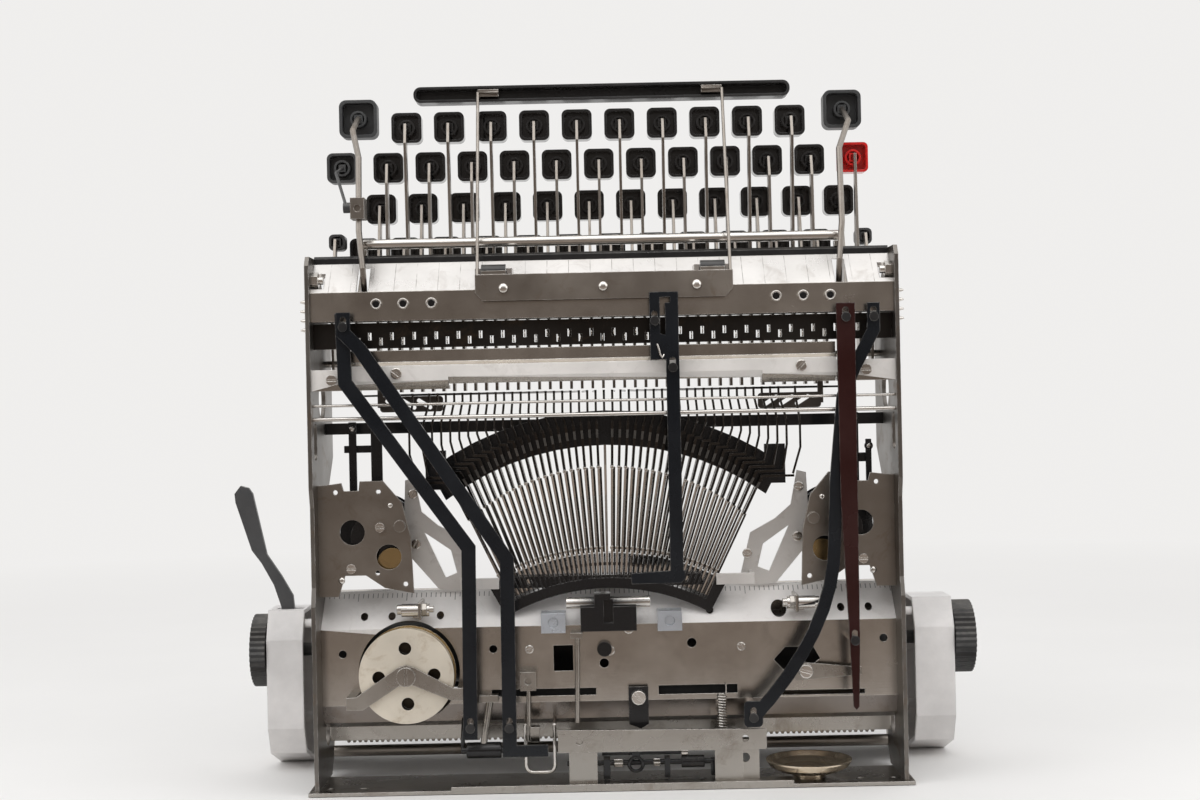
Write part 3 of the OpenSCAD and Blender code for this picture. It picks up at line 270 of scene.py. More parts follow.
def metal(name, base, roughness, spread=0.12, grain=0.12, stain=0.35, wear=0.6, radius=0.0004,
          dust=0.3, stain_colour=(0.16, 0.11, 0.07), worn=(0.85, 0.83, 0.80), coat=0.0,
          metallic=1.0):
    """Plated, oiled or polished steel: clouded colour, grain, rubbed edges, stains and dust."""
    material, t, bsdf, sheet, edge, dirt = worn_sheet(name, 1.0, radius, wear, dust)
    darker = tuple(channel * 0.78 for channel in base)
    colour = t.mix(t.span(sheet["Cloud"], 0.3, 0.7), darker, base)
    colour = t.mix(t.times(sheet["Stain"], stain), colour, stain_colour)
    colour = t.mix(edge["Mask"], colour, worn)
    colour = t.mix(dirt["Film"], colour, (0.33, 0.29, 0.24))
    rough = t.math("ADD", t.span(sheet["Cloud"], 0.3, 0.75, -spread, spread), roughness)
    rough = t.math("ADD", rough, t.times(sheet["Stain"], 0.16 * stain))
    rough = t.math("ADD", rough, t.times(dirt["Film"], 0.45), clamp=True)
    bump = t.add("Bump", inputs={"Strength": grain, "Distance": 0.00006},
                 links={"Height": sheet["Grain"], "Normal": edge["Normal"]})
    join_up(t, bsdf, colour, rough, bump)
    bsdf.inputs["Metallic"].default_value = metallic
    if coat:
        bsdf.inputs["Coat Weight"].default_value = coat
        bsdf.inputs["Coat Roughness"].default_value = 0.12
    return material


def paint(name, base, roughness, worn=(0.35, 0.33, 0.31), wear=0.7, peel=0.12, dust=0.45,
          metal_edge=True, radius=0.00045, gloss=0.5):
    """Enamel on steel: orange peel, rubbed bright edges, dust and finger marks."""
    material, t, bsdf, sheet, edge, dirt = worn_sheet(name, 0.5, radius, wear, dust)
    lighter = tuple(min(1.0, channel * 1.35 + 0.004) for channel in base)
    colour = t.mix(t.span(sheet["Cloud"], 0.35, 0.75), base, lighter)
    colour = t.mix(dirt["Film"], colour, (0.30, 0.28, 0.25))
    colour = t.mix(t.times(dirt["Specks"], 0.7), colour, (0.42, 0.40, 0.37))
    colour = t.mix(edge["Mask"], colour, worn)
    rough = t.math("ADD", t.span(sheet["Cloud"], 0.3, 0.75, -0.07, 0.10), roughness)
    rough = t.math("ADD", rough, t.times(dirt["Film"], 0.4), clamp=True)
    bump = t.add("Bump", inputs={"Strength": peel, "Distance": 0.00012},
                 links={"Height": t.noise(1400.0, 2.0), "Normal": edge["Normal"]})
    join_up(t, bsdf, colour, rough, bump)
    bsdf.inputs["Specular IOR Level"].default_value = gloss
    if metal_edge:
        t.links.new(edge["Mask"], bsdf.inputs["Metallic"])
    return material


def plastic(name, base, roughness, peel=0.05, dust=0.5, wear=0.25, coat=0.0):
    """Moulded plastic with a dusty film and slightly polished corners."""
    material = paint(name, base, roughness, worn=tuple(channel * 2.2 + 0.02 for channel in base),
                     wear=wear, peel=peel, dust=dust, metal_edge=False)
    bsdf = material.node_tree.nodes["Principled BSDF"]
    bsdf.inputs["IOR"].default_value = 1.49
    if coat:
        bsdf.inputs["Coat Weight"].default_value = coat
        bsdf.inputs["Coat Roughness"].default_value = 0.06
    return material


def rubber(name, base):
    """Hard platen rubber, ground to a matt skin with faint rings."""
    material, t, bsdf = shader(name)
    dirt = place_group(t, "Workshop dust", dust_group, Amount=0.6)
    rings = t.add("TexWave", wave_type="BANDS", bands_direction="X",
                  inputs={"Scale": 260.0, "Distortion": 1.5, "Detail": 2.0},
                  links={"Vector": t.coords()})
    cloud = t.noise(60.0, 5.0)
    colour = t.mix(t.span(cloud, 0.35, 0.7), base, tuple(channel * 2.0 for channel in base))
    colour = t.mix(dirt["Film"], colour, (0.25, 0.24, 0.22))
    bump = t.add("Bump", inputs={"Strength": 0.10, "Distance": 0.00008},
                 links={"Height": rings.outputs["Fac"]})
    join_up(t, bsdf, colour, t.span(cloud, 0.3, 0.7, 0.42, 0.60), bump)
    return material


def upright_lines(t, pitch, share):
    """Mask of lines at an even pitch along X, each as wide as its share of the pitch."""
    steps = t.times(t.math("ADD", t.axes(t.coords())["X"], 1.0), 1 / pitch)
    return t.math("LESS_THAN", t.math("FRACT", steps), share)


def band(t, low, high):
    """Mask of the heights from low to high."""
    z = t.axes(t.coords())["Z"]
    return t.times(t.math("GREATER_THAN", z, low), t.math("LESS_THAN", z, high))


def mark(t, mask, ink):
    """Lays an ink over a material's colour where the mask is on."""
    colour = t.nodes["Principled BSDF"].inputs["Base Color"]
    t.links.new(t.mix(mask, colour.links[0].from_socket, ink), colour)


def scale_marks(material):
    """Fine dark marks along the upper edge of the rear channel's slope, each tenth one longer."""
    t = Tree(material.node_tree)
    foot = t.math("SUBTRACT", 0.0806, t.times(upright_lines(t, 0.0212, 0.1), 0.0012))
    marks = t.times(upright_lines(t, 0.00212, 0.16), band(t, foot, 0.0824))
    mark(t, t.times(marks, 0.75), (0.05, 0.045, 0.04))


def fine_marks(material, strength):
    """Faint, broken upright lines scribed across the upper part of the front plate."""
    t = Tree(material.node_tree)
    lines = t.times(upright_lines(t, 0.0093, 0.030), band(t, 0.2136, 0.2262))
    broken = t.span(t.noise(160.0, 3.0), 0.35, 0.60, 0.0, strength)
    mark(t, t.times(lines, broken), (0.10, 0.085, 0.07))


def dress(names, material):
    """Gives CAD nodes a finish."""
    for name in names.split():
        mesh = NODES[name].data
        mesh.materials.clear()
        mesh.materials.append(material)


def dress_part(name, material, inside):
    """Gives a finish to the faces of a dressed CAD node whose centre, in mm, lies inside."""
    mesh = NODES[name].data
    mesh.materials.append(material)
    index = len(mesh.materials) - 1
    for face in mesh.polygons:
        if inside(*(face.center / MM)):
            face.material_index = index


def near_one(a, b, places, radius):
    """True where the point a, b lies within the radius of one of the places."""
    return any((a - c) ** 2 + (b - d) ** 2 < radius ** 2 for c, d in places)


# Finishes of the frame's nodes

class OBJECT_OT_typewriter_steel(bpy.types.Operator):
    """Plated and polished steel of the plates, bars, wires and screws"""
    bl_idname = "object.typewriter_steel"
    bl_label = "Steel finishes"

    def execute(self, context):
        hue = context.scene.typewriter_finishes
        clean = {"spread": 0.07, "stain": 0.22, "wear": 0.8, "dust": 0.12}
        dress("middle_bar", metal("nickel sheet", hue.nickel, 0.23, **clean))
        # The upper face of the middle bar's step gets a lighter, less metallic copy of the nickel:
        # a painted highlight.
        dress_part("middle_bar", metal("painted highlight nickel strip", (0.90, 0.87, 0.84), 0.50, stain=0.15,
                                       wear=0.5, dust=0.1, metallic=0.35),
                   lambda x, y, z: 174.4 < z < 181.3 and y < 3.4)
        struck = metal("scratched nickel sheet", hue.nickel, 0.23, **clean)
        fine_marks(struck, 0.45)
        dress("front_plate", struck)
        # The front plate's upper fold is a lighter copy of the scratched nickel: a painted
        # highlight where it faces the light from above, with the same scribed lines.
        upper = metal("painted highlight scratched nickel", (0.76, 0.74, 0.72), 0.30, **clean)
        fine_marks(upper, 0.6)
        dress_part("front_plate", upper, lambda x, y, z: 213.6 < z < 226.6)
        dress("rear_channel", metal("scaled nickel sheet", hue.nickel, 0.23, **clean))
        # The rear channel's upper slope is a near-white, less metallic copy of the nickel: a
        # painted highlight, with printed scale marks on it.
        slope = metal("painted highlight scaled slope", (0.95, 0.92, 0.90), 0.48, stain=0.15, wear=0.5,
                      dust=0.08, metallic=0.25)
        scale_marks(slope)
        dress_part("rear_channel", slope, lambda x, y, z: 67.0 < z < 83.0 and z - y > 53.8)
        # The rear channel's low face, from 24 to 35.9 mm up, is a darker copy of the nickel:
        # painted shade where it faces down.
        dress_part("rear_channel", metal("painted shade nickel", (0.27, 0.24, 0.22), 0.30, dust=0.1),
                   lambda x, y, z: 24 < z < 35.9)
        dress("base_plate lower_bracket escapement_rods drum_bracket carriage_rail",
              metal("nickel bracket", tuple(c * 0.80 for c in hue.nickel), 0.28, stain=0.35,
                    dust=0.18))
        bright = metal("bright steel", hue.bright, 0.20, grain=0.06, stain=0.25, wear=0.3)
        dress("cross_rods type_guide frame_screws brake_spring paper_bail", bright)
        dress("typebars centre_typebar",
              metal("polished type bar", hue.bright, 0.12, spread=0.05, grain=0.04, stain=0.45,
                    wear=0.2, dust=0.05, stain_colour=(0.34, 0.25, 0.16)))
        dress("left_side_plate right_side_plate",
              metal("side plate", hue.side, 0.40, stain=0.6, wear=0.9))
        dress("left_ribbon_plate right_ribbon_plate spacebar_frame shift_levers carriage_frame "
              "escapement_rack",
              metal("dull zinc", hue.zinc, 0.36, stain=0.4, wear=0.7))
        dress("lever_comb", metal("dark comb", hue.comb, 0.36, stain=0.3, wear=1.0, dust=0.1,
                                  worn=(0.6, 0.58, 0.55)))
        dress("link_wires connecting_wires bell_cranks",
              metal("oiled wire", hue.wire, 0.20, stain=0.2, wear=0.4, radius=0.0001,
                    dust=0.08, worn=(0.5, 0.48, 0.46)))
        black = metal("black oxide", hue.black, 0.26, stain=0.05, wear=0.6, metallic=0.6,
                      dust=0.08, worn=(0.30, 0.29, 0.28), coat=0.3)
        dress("segment escapement left_ribbon_spool right_ribbon_spool type_rest", black)
        dress_part("escapement", metal("blued clamp", (0.60, 0.64, 0.70), 0.26, stain=0.1, wear=0.5,
                                        metallic=0.6),
                   lambda x, y, z: (-30 < x < -18 or 20 < x < 32) and z < 75)
        dress_part("escapement", bright, lambda x, y, z: abs(x) > 12.01 and 75.5 < z < 82)
        dress_part("middle_bar", metal("dark guide", (0.14, 0.13, 0.12), 0.36, wear=0.8),
                   lambda x, y, z: z < 171.5 and y > 12)
        dress("mainspring_drum",
              metal("cream drum", hue.cream, 0.42, stain=0.45, wear=0.6, metallic=0.3,
                    stain_colour=(0.33, 0.22, 0.11)))
        dress_part("mainspring_drum", metal("drum rim", (0.60, 0.44, 0.22), 0.24, stain=0.4),
                   lambda x, y, z: (x - DRUM_X) ** 2 + (z - DRUM_Z) ** 2 > 19.6 ** 2)
        reach = 11.8  # of the four holes in the drum's face
        holes = [(DRUM_X + reach * cos(radians(a)), DRUM_Z + reach * sin(radians(a)))
                 for a in (2, 92, 182, 272)]
        # Walls of the drum's four holes are near-black brown: painted shade in the holes.
        dress_part("mainspring_drum", metal("painted shade in drum holes", (0.05, 0.04, 0.03), 0.5),
                   lambda x, y, z: 2.3 < y < 7 and near_one(x, z, holes, 2.9))
        dress("bell", metal("bell bronze", hue.bronze, 0.18, spread=0.05, grain=0.03, stain=0.30,
                            wear=0.3, dust=0.1, metallic=0.85, stain_colour=(0.22, 0.13, 0.06)))
        dress("basket_arms", metal("satin arm", (0.80, 0.775, 0.75), 0.42, stain=0.25, wear=0.8,
                                   dust=0.1, metallic=0.55))
        dress("paper_table", metal("paper table", hue.bright, 0.26, stain=0.3))
        return {"FINISHED"}


class OBJECT_OT_typewriter_enamel(bpy.types.Operator):
    """Enamel of the straps, end covers and return lever"""
    bl_idname = "object.typewriter_enamel"
    bl_label = "Enamel finishes"

    def execute(self, context):
        hue = context.scene.typewriter_finishes
        dress("left_outer_strap left_inner_strap spacebar_strap right_strap",
              paint("strap enamel", hue.strap, 0.22, dust=0.06, gloss=0.32))
        dress("tab_strap", paint("maroon enamel", hue.maroon, 0.22, dust=0.05, gloss=0.32))
        gloss = paint("black gloss enamel", hue.key, 0.12, peel=0.05, dust=0.25, wear=0.6)
        dress("front_rail rear_tie_bar", gloss)
        dress_part("spacebar_frame", gloss,
                   lambda x, y, z: (-51.1 < x < -40.59 or 41.99 < x < 52.5) and y > -0.1
                   and near_one(y, z, [(3, 221)], 3.2))
        # x and z of the straps' shoulder studs
        studs = ((-109.4, 198.4), (-59.3, 28), (-42.7, 28), (22.1, 198.4), (29.3, 178.6),
                 (102.6, 198.4), (103.7, 62), (114.6, 198.4), (60.4, 30))
        dress_part("frame_screws", gloss,
                   lambda x, y, z: y < -2.2 and near_one(x, z, studs, 3))
        dress("left_end_cover right_end_cover",
              paint("cover enamel", hue.cover, 0.38, worn=(0.5, 0.48, 0.45), wear=0.35,
                    peel=0.3, dust=0.25, radius=0.0009))
        dress("return_lever", paint("lever enamel", hue.lever, 0.36, peel=0.25, wear=0.8))
        return {"FINISHED"}


class OBJECT_OT_typewriter_plastic(bpy.types.Operator):
    """Plastic of the keys and knobs, and the rubber of the platen"""
    bl_idname = "object.typewriter_plastic"
    bl_label = "Plastic and rubber finishes"

    def execute(self, context):
        hue = context.scene.typewriter_finishes
        cap = plastic("key plastic", hue.key, 0.10, dust=0.3, coat=0.5)
        lever = metal("key lever steel", hue.zinc, 0.32, stain=0.4, wear=0.7)
        red = plastic("red plastic", hue.red, 0.18, dust=0.3, coat=0.3)
        grey = plastic("grey plastic", hue.grey, 0.38)
        for names, top in (("centre_key key_row_a key_row_b key_row_c key_row_d", cap),
                           ("tab_key", red), ("backspace_key margin_release_key", grey)):
            for name in names.split():
                dress(name, top)
                NODES[name].data.materials.append(lever)
                mark_levers(NODES[name].data)
        dress("spacebar", plastic("spacebar plastic", hue.key, 0.24, peel=0.10))
        dress("shift_keys", plastic("shift plastic", hue.shift, 0.40, peel=0.25))
        dress("shift_lock_key", grey)
        dress("platen_knobs", plastic("knob plastic", hue.key, 0.32, dust=0.8))
        dress("platen feed_rollers", rubber("platen rubber", hue.rubber))
        # Near-black matt finish of the strips that stand for shade in the slots.
        paint("slot shade black", (0.008, 0.008, 0.008), 0.9, dust=0.2, metal_edge=False, gloss=0.1)
        return {"FINISHED"}


def mark_levers(mesh):
    """Gives the second finish to each loose solid of a key that is thin along X: its levers."""
    places, owner = {}, []
    for vertex in mesh.vertices:
        key = tuple(round(value * 1e6) for value in vertex.co)
        owner.append(places.setdefault(key, len(places)))
    parent = list(range(len(places)))

    def root(item):
        while parent[item] != item:
            parent[item] = parent[parent[item]]
            item = parent[item]
        return item

    for face in mesh.polygons:
        first = root(owner[face.vertices[0]])
        for index in face.vertices[1:]:
            parent[root(owner[index])] = first
    low, high = {}, {}
    for index, vertex in enumerate(mesh.vertices):
        solid, x = root(owner[index]), vertex.co.x
        low[solid] = min(low.get(solid, x), x)
        high[solid] = max(high.get(solid, x), x)
    for face in mesh.polygons:
        solid = root(owner[face.vertices[0]])
        face.material_index = int(high[solid] - low[solid] < LEVER_WIDTH)


# Small fittings, modelled in millimetres and brought to metres when they are placed

def primitive(kind, **values):
    bpy.ops.object.select_all(action="DESELECT")
    getattr(bpy.ops.mesh, f"primitive_{kind}_add")(**values)
    return bpy.context.object


def settle(piece, bevel=0.0):
    """Applies a new piece's place, turn and size, and then breaks its sharp edges."""
    bpy.ops.object.transform_apply(location=True, rotation=True, scale=True)
    if bevel:
        edge = piece.modifiers.new("edge", "BEVEL")
        edge.width, edge.segments, edge.limit_method = bevel, 2, "ANGLE"
        bpy.ops.object.modifier_apply(modifier=edge.name)
    return piece


def turned(x, z, near, far, radius, sides=24, chamfer=0.0, axis="Y"):
    """A turned pin along Y, or along X from near to far at the depth x and height z."""
    middle = (near + far) / 2
    place = (x, middle, z) if axis == "Y" else (middle, x, z)
    turn = (pi / 2, 0, 0) if axis == "Y" else (0, pi / 2, 0)
    return settle(primitive("cylinder", vertices=sides, radius=radius, depth=far - near,
                            location=place, rotation=turn), chamfer)


def slab(centre, size, bevel=0.2):
    """A flat block with broken edges."""
    piece = primitive("cube", size=1.0)
    piece.scale, piece.location = size, centre
    return settle(piece, bevel)


def cut(piece, low, high, spin, centre):
    """Cuts a straight groove, turned about Y through the centre, out of a piece."""
    box = slab([(a + b) / 2 for a, b in zip(low, high)], [b - a for a, b in zip(low, high)], 0.0)
    bpy.ops.object.mode_set(mode="EDIT")
    bpy.ops.mesh.select_all(action="SELECT")
    bpy.ops.transform.rotate(value=spin, orient_axis="Y", center_override=centre)
    bpy.ops.object.mode_set(mode="OBJECT")
    groove = piece.modifiers.new("groove", "BOOLEAN")
    groove.operation, groove.object, groove.solver = "DIFFERENCE", box, "EXACT"
    bpy.ops.object.select_all(action="DESELECT")
    bpy.context.view_layer.objects.active = piece
    piece.select_set(True)
    bpy.ops.object.modifier_apply(modifier=groove.name)
    bpy.data.objects.remove(box, do_unlink=True)
    return piece


def slotted_head(x, z, face, radius, spin):
    """Domed screw head on a face that looks towards the underside, with its slot."""
    half = 0.14 * radius + 0.1
    head = turned(x, z, face - 1.0, face + 0.3, radius, chamfer=0.45)
    return cut(head, (x - half, face - 2.0, z - radius - 1),
               (x + half, face - 0.55, z + radius + 1), spin, (x, face, z))


def rim(x, z, y, radius, thickness):
    """A rolled ring round a hole, flattened along Y."""
    ring = primitive("torus", major_radius=radius, minor_radius=thickness,
                     major_segments=24, minor_segments=8, location=(x, y, z),
                     rotation=(pi / 2, 0, 0))
    ring.scale = (1.0, 1.0, 0.7)
    return settle(ring)


def dome(x, z, face, radius, height):
    """Rivet head, a flattened half ball on a face that looks towards the underside."""
    ball = primitive("uv_sphere", segments=20, ring_count=10, radius=radius,
                     location=(x, face, z))
    ball.scale.y = height / radius
    settle(ball)
    bpy.ops.object.mode_set(mode="EDIT")
    bpy.ops.mesh.select_all(action="SELECT")
    bpy.ops.mesh.bisect(plane_co=(x, face + 0.1, z), plane_no=(0, 1, 0), use_fill=True,
                        clear_outer=True)
    bpy.ops.object.mode_set(mode="OBJECT")
    bpy.ops.object.shade_smooth_by_angle(angle=radians(40))
    return ball


def bent(points, radius, roundness=2):
    """A bent wire through points, made a mesh."""
    bpy.ops.object.select_all(action="DESELECT")
    bpy.ops.curve.primitive_nurbs_path_add()
    curve = bpy.context.object.data
    curve.splines.clear()
    spline = curve.splines.new("POLY")
    spline.points.add(len(points) - 1)
    for point, place in zip(spline.points, points):
        point.co = (*place, 1.0)
    curve.dimensions, curve.bevel_depth = "3D", radius
    curve.bevel_resolution, curve.use_fill_caps = roundness, True
    bpy.ops.object.convert(target="MESH")
    bpy.ops.object.shade_smooth_by_angle(angle=radians(50))
    return bpy.context.object


def arc(centre, radius, start, end, plane="YZ", steps=6):
    """Points of an arc in degrees about a centre."""
    points = []
    for index in range(steps + 1):
        angle = radians(start + (end - start) * index / steps)
        a, b = radius * cos(angle), radius * sin(angle)
        x, y, z = centre
        points.append((x, y + a, z + b) if plane == "YZ" else (x + a, y, z + b))
    return points


# Finish and kind of material of most fittings
BRIGHT = ("bright steel", "bright_steel")
DARK = ("black oxide", "black_metal")


def place(name, pieces, finish, slot, body="frame"):
    """Joins pieces into one object in metres that rides on a body."""
    bpy.ops.object.select_all(action="DESELECT")
    for piece in pieces:
        piece.select_set(True)
    bpy.context.view_layer.objects.active = pieces[0]
    if len(pieces) > 1:
        bpy.ops.object.join()
    whole = bpy.context.object
    whole.name = whole.data.name = name
    whole.scale = (MM, MM, MM)
    settle(whole)
    whole.data.materials.clear()
    whole.data.materials.append(bpy.data.materials[finish])
    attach(whole, body)


class OBJECT_OT_typewriter_rivets(bpy.types.Operator):
    """Rivet domes and screw heads on the plates, and dark plugs and strips in their holes and slots
    that are painted shade
    """
    bl_idname = "object.typewriter_rivets"
    bl_label = "Rivets and screws"

    def execute(self, context):
        place("plate_rivets", [dome(x, 213.6, -2.3, 2.1, 1.3) for x in (-41.6, 0.6, 40.2)],
              *BRIGHT, body="spacebar")
        # x, z, face, radius and turn of the slot
        heads = ((0.3, 57.4, SHEET_FACE, 2.2, 0.3), (8.6, 66.6, SHEET_FACE, 2.2, 1.1),
                 (12.2, 37.6, 8.0, 3.1, 0.7), (84.0, 47.6, 6.8, 3.0, 1.3),
                 (-34.4, 58.6, SHEET_FACE, 1.9, 2.0), (57.0, 58.0, SHEET_FACE, 1.9, 0.4),
                 (-88.0, 178.5, 1.5, 2.5, 0.9), (84.0, 178.5, 1.5, 2.5, 2.4))
        place("face_screws", [slotted_head(*head) for head in heads], *BRIGHT)
        ears = [dome(side * x, z, 12.0, radius, radius * 0.6)
                for side in (-1, 1) for x, z, radius in ((114.5, 90.0, 1.5), (93.0, 122.0, 1.2))]
        place("ribbon_plate_rivets", ears, *BRIGHT)
        holes = (-96, -84.5, -72.5, 74, 85.5, 97)
        place("front_plate_bushes", [rim(x, HOLES_Z, 0.95, 1.95, 0.42) for x in holes], *BRIGHT)
        # Dark discs in the front plate's holes: painted shade in the holes.
        place("front_plate_shade_plugs",
              [turned(x, HOLES_Z, 1.6, 2.5, 1.5, chamfer=0.2) for x in holes], *DARK)
        # Near-black matt strips behind the slots: painted shade in the slots.
        strips = [slab((x, 15.85, 39.9), (width, 0.8, 5.6))
                  for x, width in ((-28.5, 48.0), (38.0, 37.0))]
        place("slot_shade_strips", strips, "slot shade black", "black_metal")
        return {"FINISHED"}


class OBJECT_OT_typewriter_hooks(bpy.types.Operator):
    """Spring hooks in the comb's slots and the wire hook of the spacebar strap"""
    bl_idname = "object.typewriter_hooks"
    bl_label = "Hooks"

    def execute(self, context):
        hooks = []
        for column in range(-23, 24):
            z = 194.8 if column % 2 else 192.6
            hooks.append(bent(arc((column * PITCH / 4, 9.6, z), 1.35, 100, 260), 0.27, 1))
        place("comb_hooks", hooks, *BRIGHT)
        loop = bent([(22.9, -4.2, 188.6), (23.6, -4.6, 186.4), (24.0, -4.7, 184.2),
                     (24.9, -4.3, 182.9), (25.8, -3.4, 184.4), (25.9, -1.6, 187.0)], 0.42)
        place("strap_hook", [loop], *BRIGHT, body="spacebar_strap")
        return {"FINISHED"}


class OBJECT_OT_typewriter_basket_pins(bpy.types.Operator):
    """Bright stop pins over the segment's slots and the bolts of the basket's arms"""
    bl_idname = "object.typewriter_basket_pins"
    bl_label = "Basket pins"

    def execute(self, context):
        pins = []
        for number in (*range(-FAN_HALF, 0), *range(1, FAN_HALF + 1)):
            angle = number * FAN_STEP
            slot_end = 143.4 - 7.4 * (number / FAN_HALF) ** 2
            for reach, near, radius in ((108.2, 18.9, 0.95), (slot_end, 15.7, 0.85)):
                pins.append(turned(reach * sin(angle), FAN_Z + reach * cos(angle), near,
                                   near + 1.0, radius, sides=12, chamfer=0.3))
        place("segment_pins", pins, *BRIGHT, body="basket")
        bolts = [slotted_head(side * x, z, 26.4, 2.2, 0.5 + side)
                 for side in (-1, 1) for x, z in ((84.6, 126.0), (83.6, 104.0), (61.5, 97.0))]
        place("arm_bolts", bolts, *BRIGHT, body="basket")
        return {"FINISHED"}


class OBJECT_OT_typewriter_linkage(bpy.types.Operator):
    """Dark escapement linkage behind the lower bracket: rocker bar, eyes, clips and screws"""
    bl_idname = "object.typewriter_linkage"
    bl_label = "Lower linkage"

    def execute(self, context):
        y, low, high = 11.0, 9.4, 13.4  # depth and heights of the two bars
        dark = [turned(y, low, -19.0, 48.0, 1.1, chamfer=0.3, axis="X"),
                turned(y, high, -4.0, 30.0, 0.8, chamfer=0.2, axis="X"),
                turned(y, low, 30.0, 40.0, 2.6, chamfer=0.4, axis="X"),
                rim(10.5, 9.2, 8.2, 3.0, 0.75), slab((10.5, 8.4, 15.0), (3.4, 1.2, 7.0)),
                slab((-2.0, y, 7.4), (3.0, 8.0, 8.4)), slab((24.0, y, 7.4), (2.4, 6.0, 8.4)),
                slab((44.0, 13.0, 6.6), (2.4, 6.0, 6.6)), slab((-14.0, y, 6.4), (2.4, 6.0, 6.6))]
        place("linkage_bars", dark, *DARK)
        bright = [turned(y, low, 1.0, 5.0, 2.0, sides=6, chamfer=0.25, axis="X"),
                  turned(y, low, 18.0, 21.0, 1.9, sides=6, chamfer=0.25, axis="X"),
                  turned(y, high, 30.0, 33.0, 1.5, chamfer=0.3, axis="X")]
        place("linkage_nuts", bright, *BRIGHT)
        return {"FINISHED"}


class OBJECT_OT_typewriter_side_levers(bpy.types.Operator):
    """Upright levers, pins and a clip beside the type basket, and the ribbon's drive discs"""
    bl_idname = "object.typewriter_side_levers"
    bl_label = "Side levers"

    def execute(self, context):
        dark = []
        for x, low, high, width in ((-111.0, 126.0, 158.0, 3.4), (-100.5, 128.0, 158.0, 5.0),
                                    (110.0, 124.0, 158.0, 3.4), (116.0, 112.0, 146.0, 2.6)):
            dark.append(slab((x, 29.0, (low + high) / 2), (width, 1.4, high - low), 0.3))
            dark.append(turned(x, high - 3.0, 27.4, 29.0, 1.9, sides=16, chamfer=0.3))
        dark.append(slab((-108.0, 30.6, 146.0), (14.0, 1.4, 3.2), 0.3))
        dark.append(slab((112.6, 30.6, 138.0), (9.0, 1.4, 4.0), 0.3))
        place("side_levers", dark, *DARK)
        pins = [dome(x, z, 27.4, 1.2, 0.8) for x, z in ((-111.0, 155.0), (-100.5, 155.0),
                                                        (110.0, 155.0), (116.0, 143.0))]
        pins.append(slab((121.0, 22.0, 108.0), (5.0, 1.2, 7.6), 0.3))
        place("side_lever_pins", pins, *BRIGHT)
        gears = [turned(side * 93.0, 97.2, 15.2, 16.2, 6.4, sides=32, chamfer=0.3)
                 for side in (-1, 1)]
        place("ribbon_drive_discs", gears, "drum rim", "bright_steel")
        return {"FINISHED"}


class OBJECT_OT_typewriter_adjusters(bpy.types.Operator):
    """Stop screws of the basket's shift, with their lock nuts and brackets"""
    bl_idname = "object.typewriter_adjusters"
    bl_label = "Stop screws"

    def execute(self, context):
        steel, dark = [], []
        for side in (-1, 1):
            steel.append(self.pin(side, 75.0, 90.5, 1.5, chamfer=0.3))
            steel.append(self.pin(side, 86.0, 91.0, 2.2, chamfer=0.4))
            dark.append(self.pin(side, 78.0, 80.2, 3.0, sides=6, chamfer=0.25))
            dark.append(slab((side * 81.0, 16.2, 76.6), (1.5, 15.6, 7.6), 0.5))
        place("stop_screws", steel, *BRIGHT)
        place("stop_screw_brackets", dark, "nickel bracket", "zinc_steel")
        return {"FINISHED"}

    def pin(self, side, inner, outer, radius, **shape):
        """A turned length of one side's stop screw, from inner to outer."""
        depth, height = 12.0, 77.0
        ends = sorted((side * inner, side * outer))
        return turned(depth, height, *ends, radius, axis="X", **shape)


class OBJECT_OT_typewriter_wires(bpy.types.Operator):
    """Wire bow and stop roller beside the lower bracket"""
    bl_idname = "object.typewriter_wires"
    bl_label = "Lower wires"

    def execute(self, context):
        bow = [(-36.6, 9.0, 26.8)] + arc((-33.6, 9.0, 9.4), 3.0, 180, 270, "XZ") \
            + arc((-27.2, 9.0, 9.4), 3.0, 270, 360, "XZ") + [(-24.2, 9.0, 26.8)]
        feet = [bent([(x, 9.0, 26.6), (x, 15.0, 27.6), (x, 19.0, 29.4)], 0.8)
                for x in (-36.6, -24.2)]
        place("wire_bow", [bent(bow, 0.8)] + feet, *BRIGHT)
        roller = [turned(9.0, 16.4, -62.0, -47.0, 3.4, chamfer=0.6, axis="X"),
                  turned(9.0, 16.4, -64.4, -44.6, 1.4, chamfer=0.3, axis="X")]
        roller += [bent([(x, 9.0, 16.4), (x, 9.6, 22.0), (x, 17.0, 29.0)], 0.9)
                   for x in (-63.6, -45.4)]
        place("stop_roller", roller, *DARK)
        return {"FINISHED"}


# Signs of each key node, with the middle, the top's depth and the height of its row
LEGENDS = {
    "key_row_a": ("ZXCVBNM,./", 0.0, 48, 289),
    "key_row_b": ("ASDFG JKL;'", 0.0, 57, 272.5),
    "key_row_c": ("QWERTYUIOP+@", PITCH / 4, 67, 255),
    "key_row_d": ("1234567890-=", -PITCH / 4, 77, 236),
    "centre_key": ("     H     ", 0.0, 57, 272.5),
}


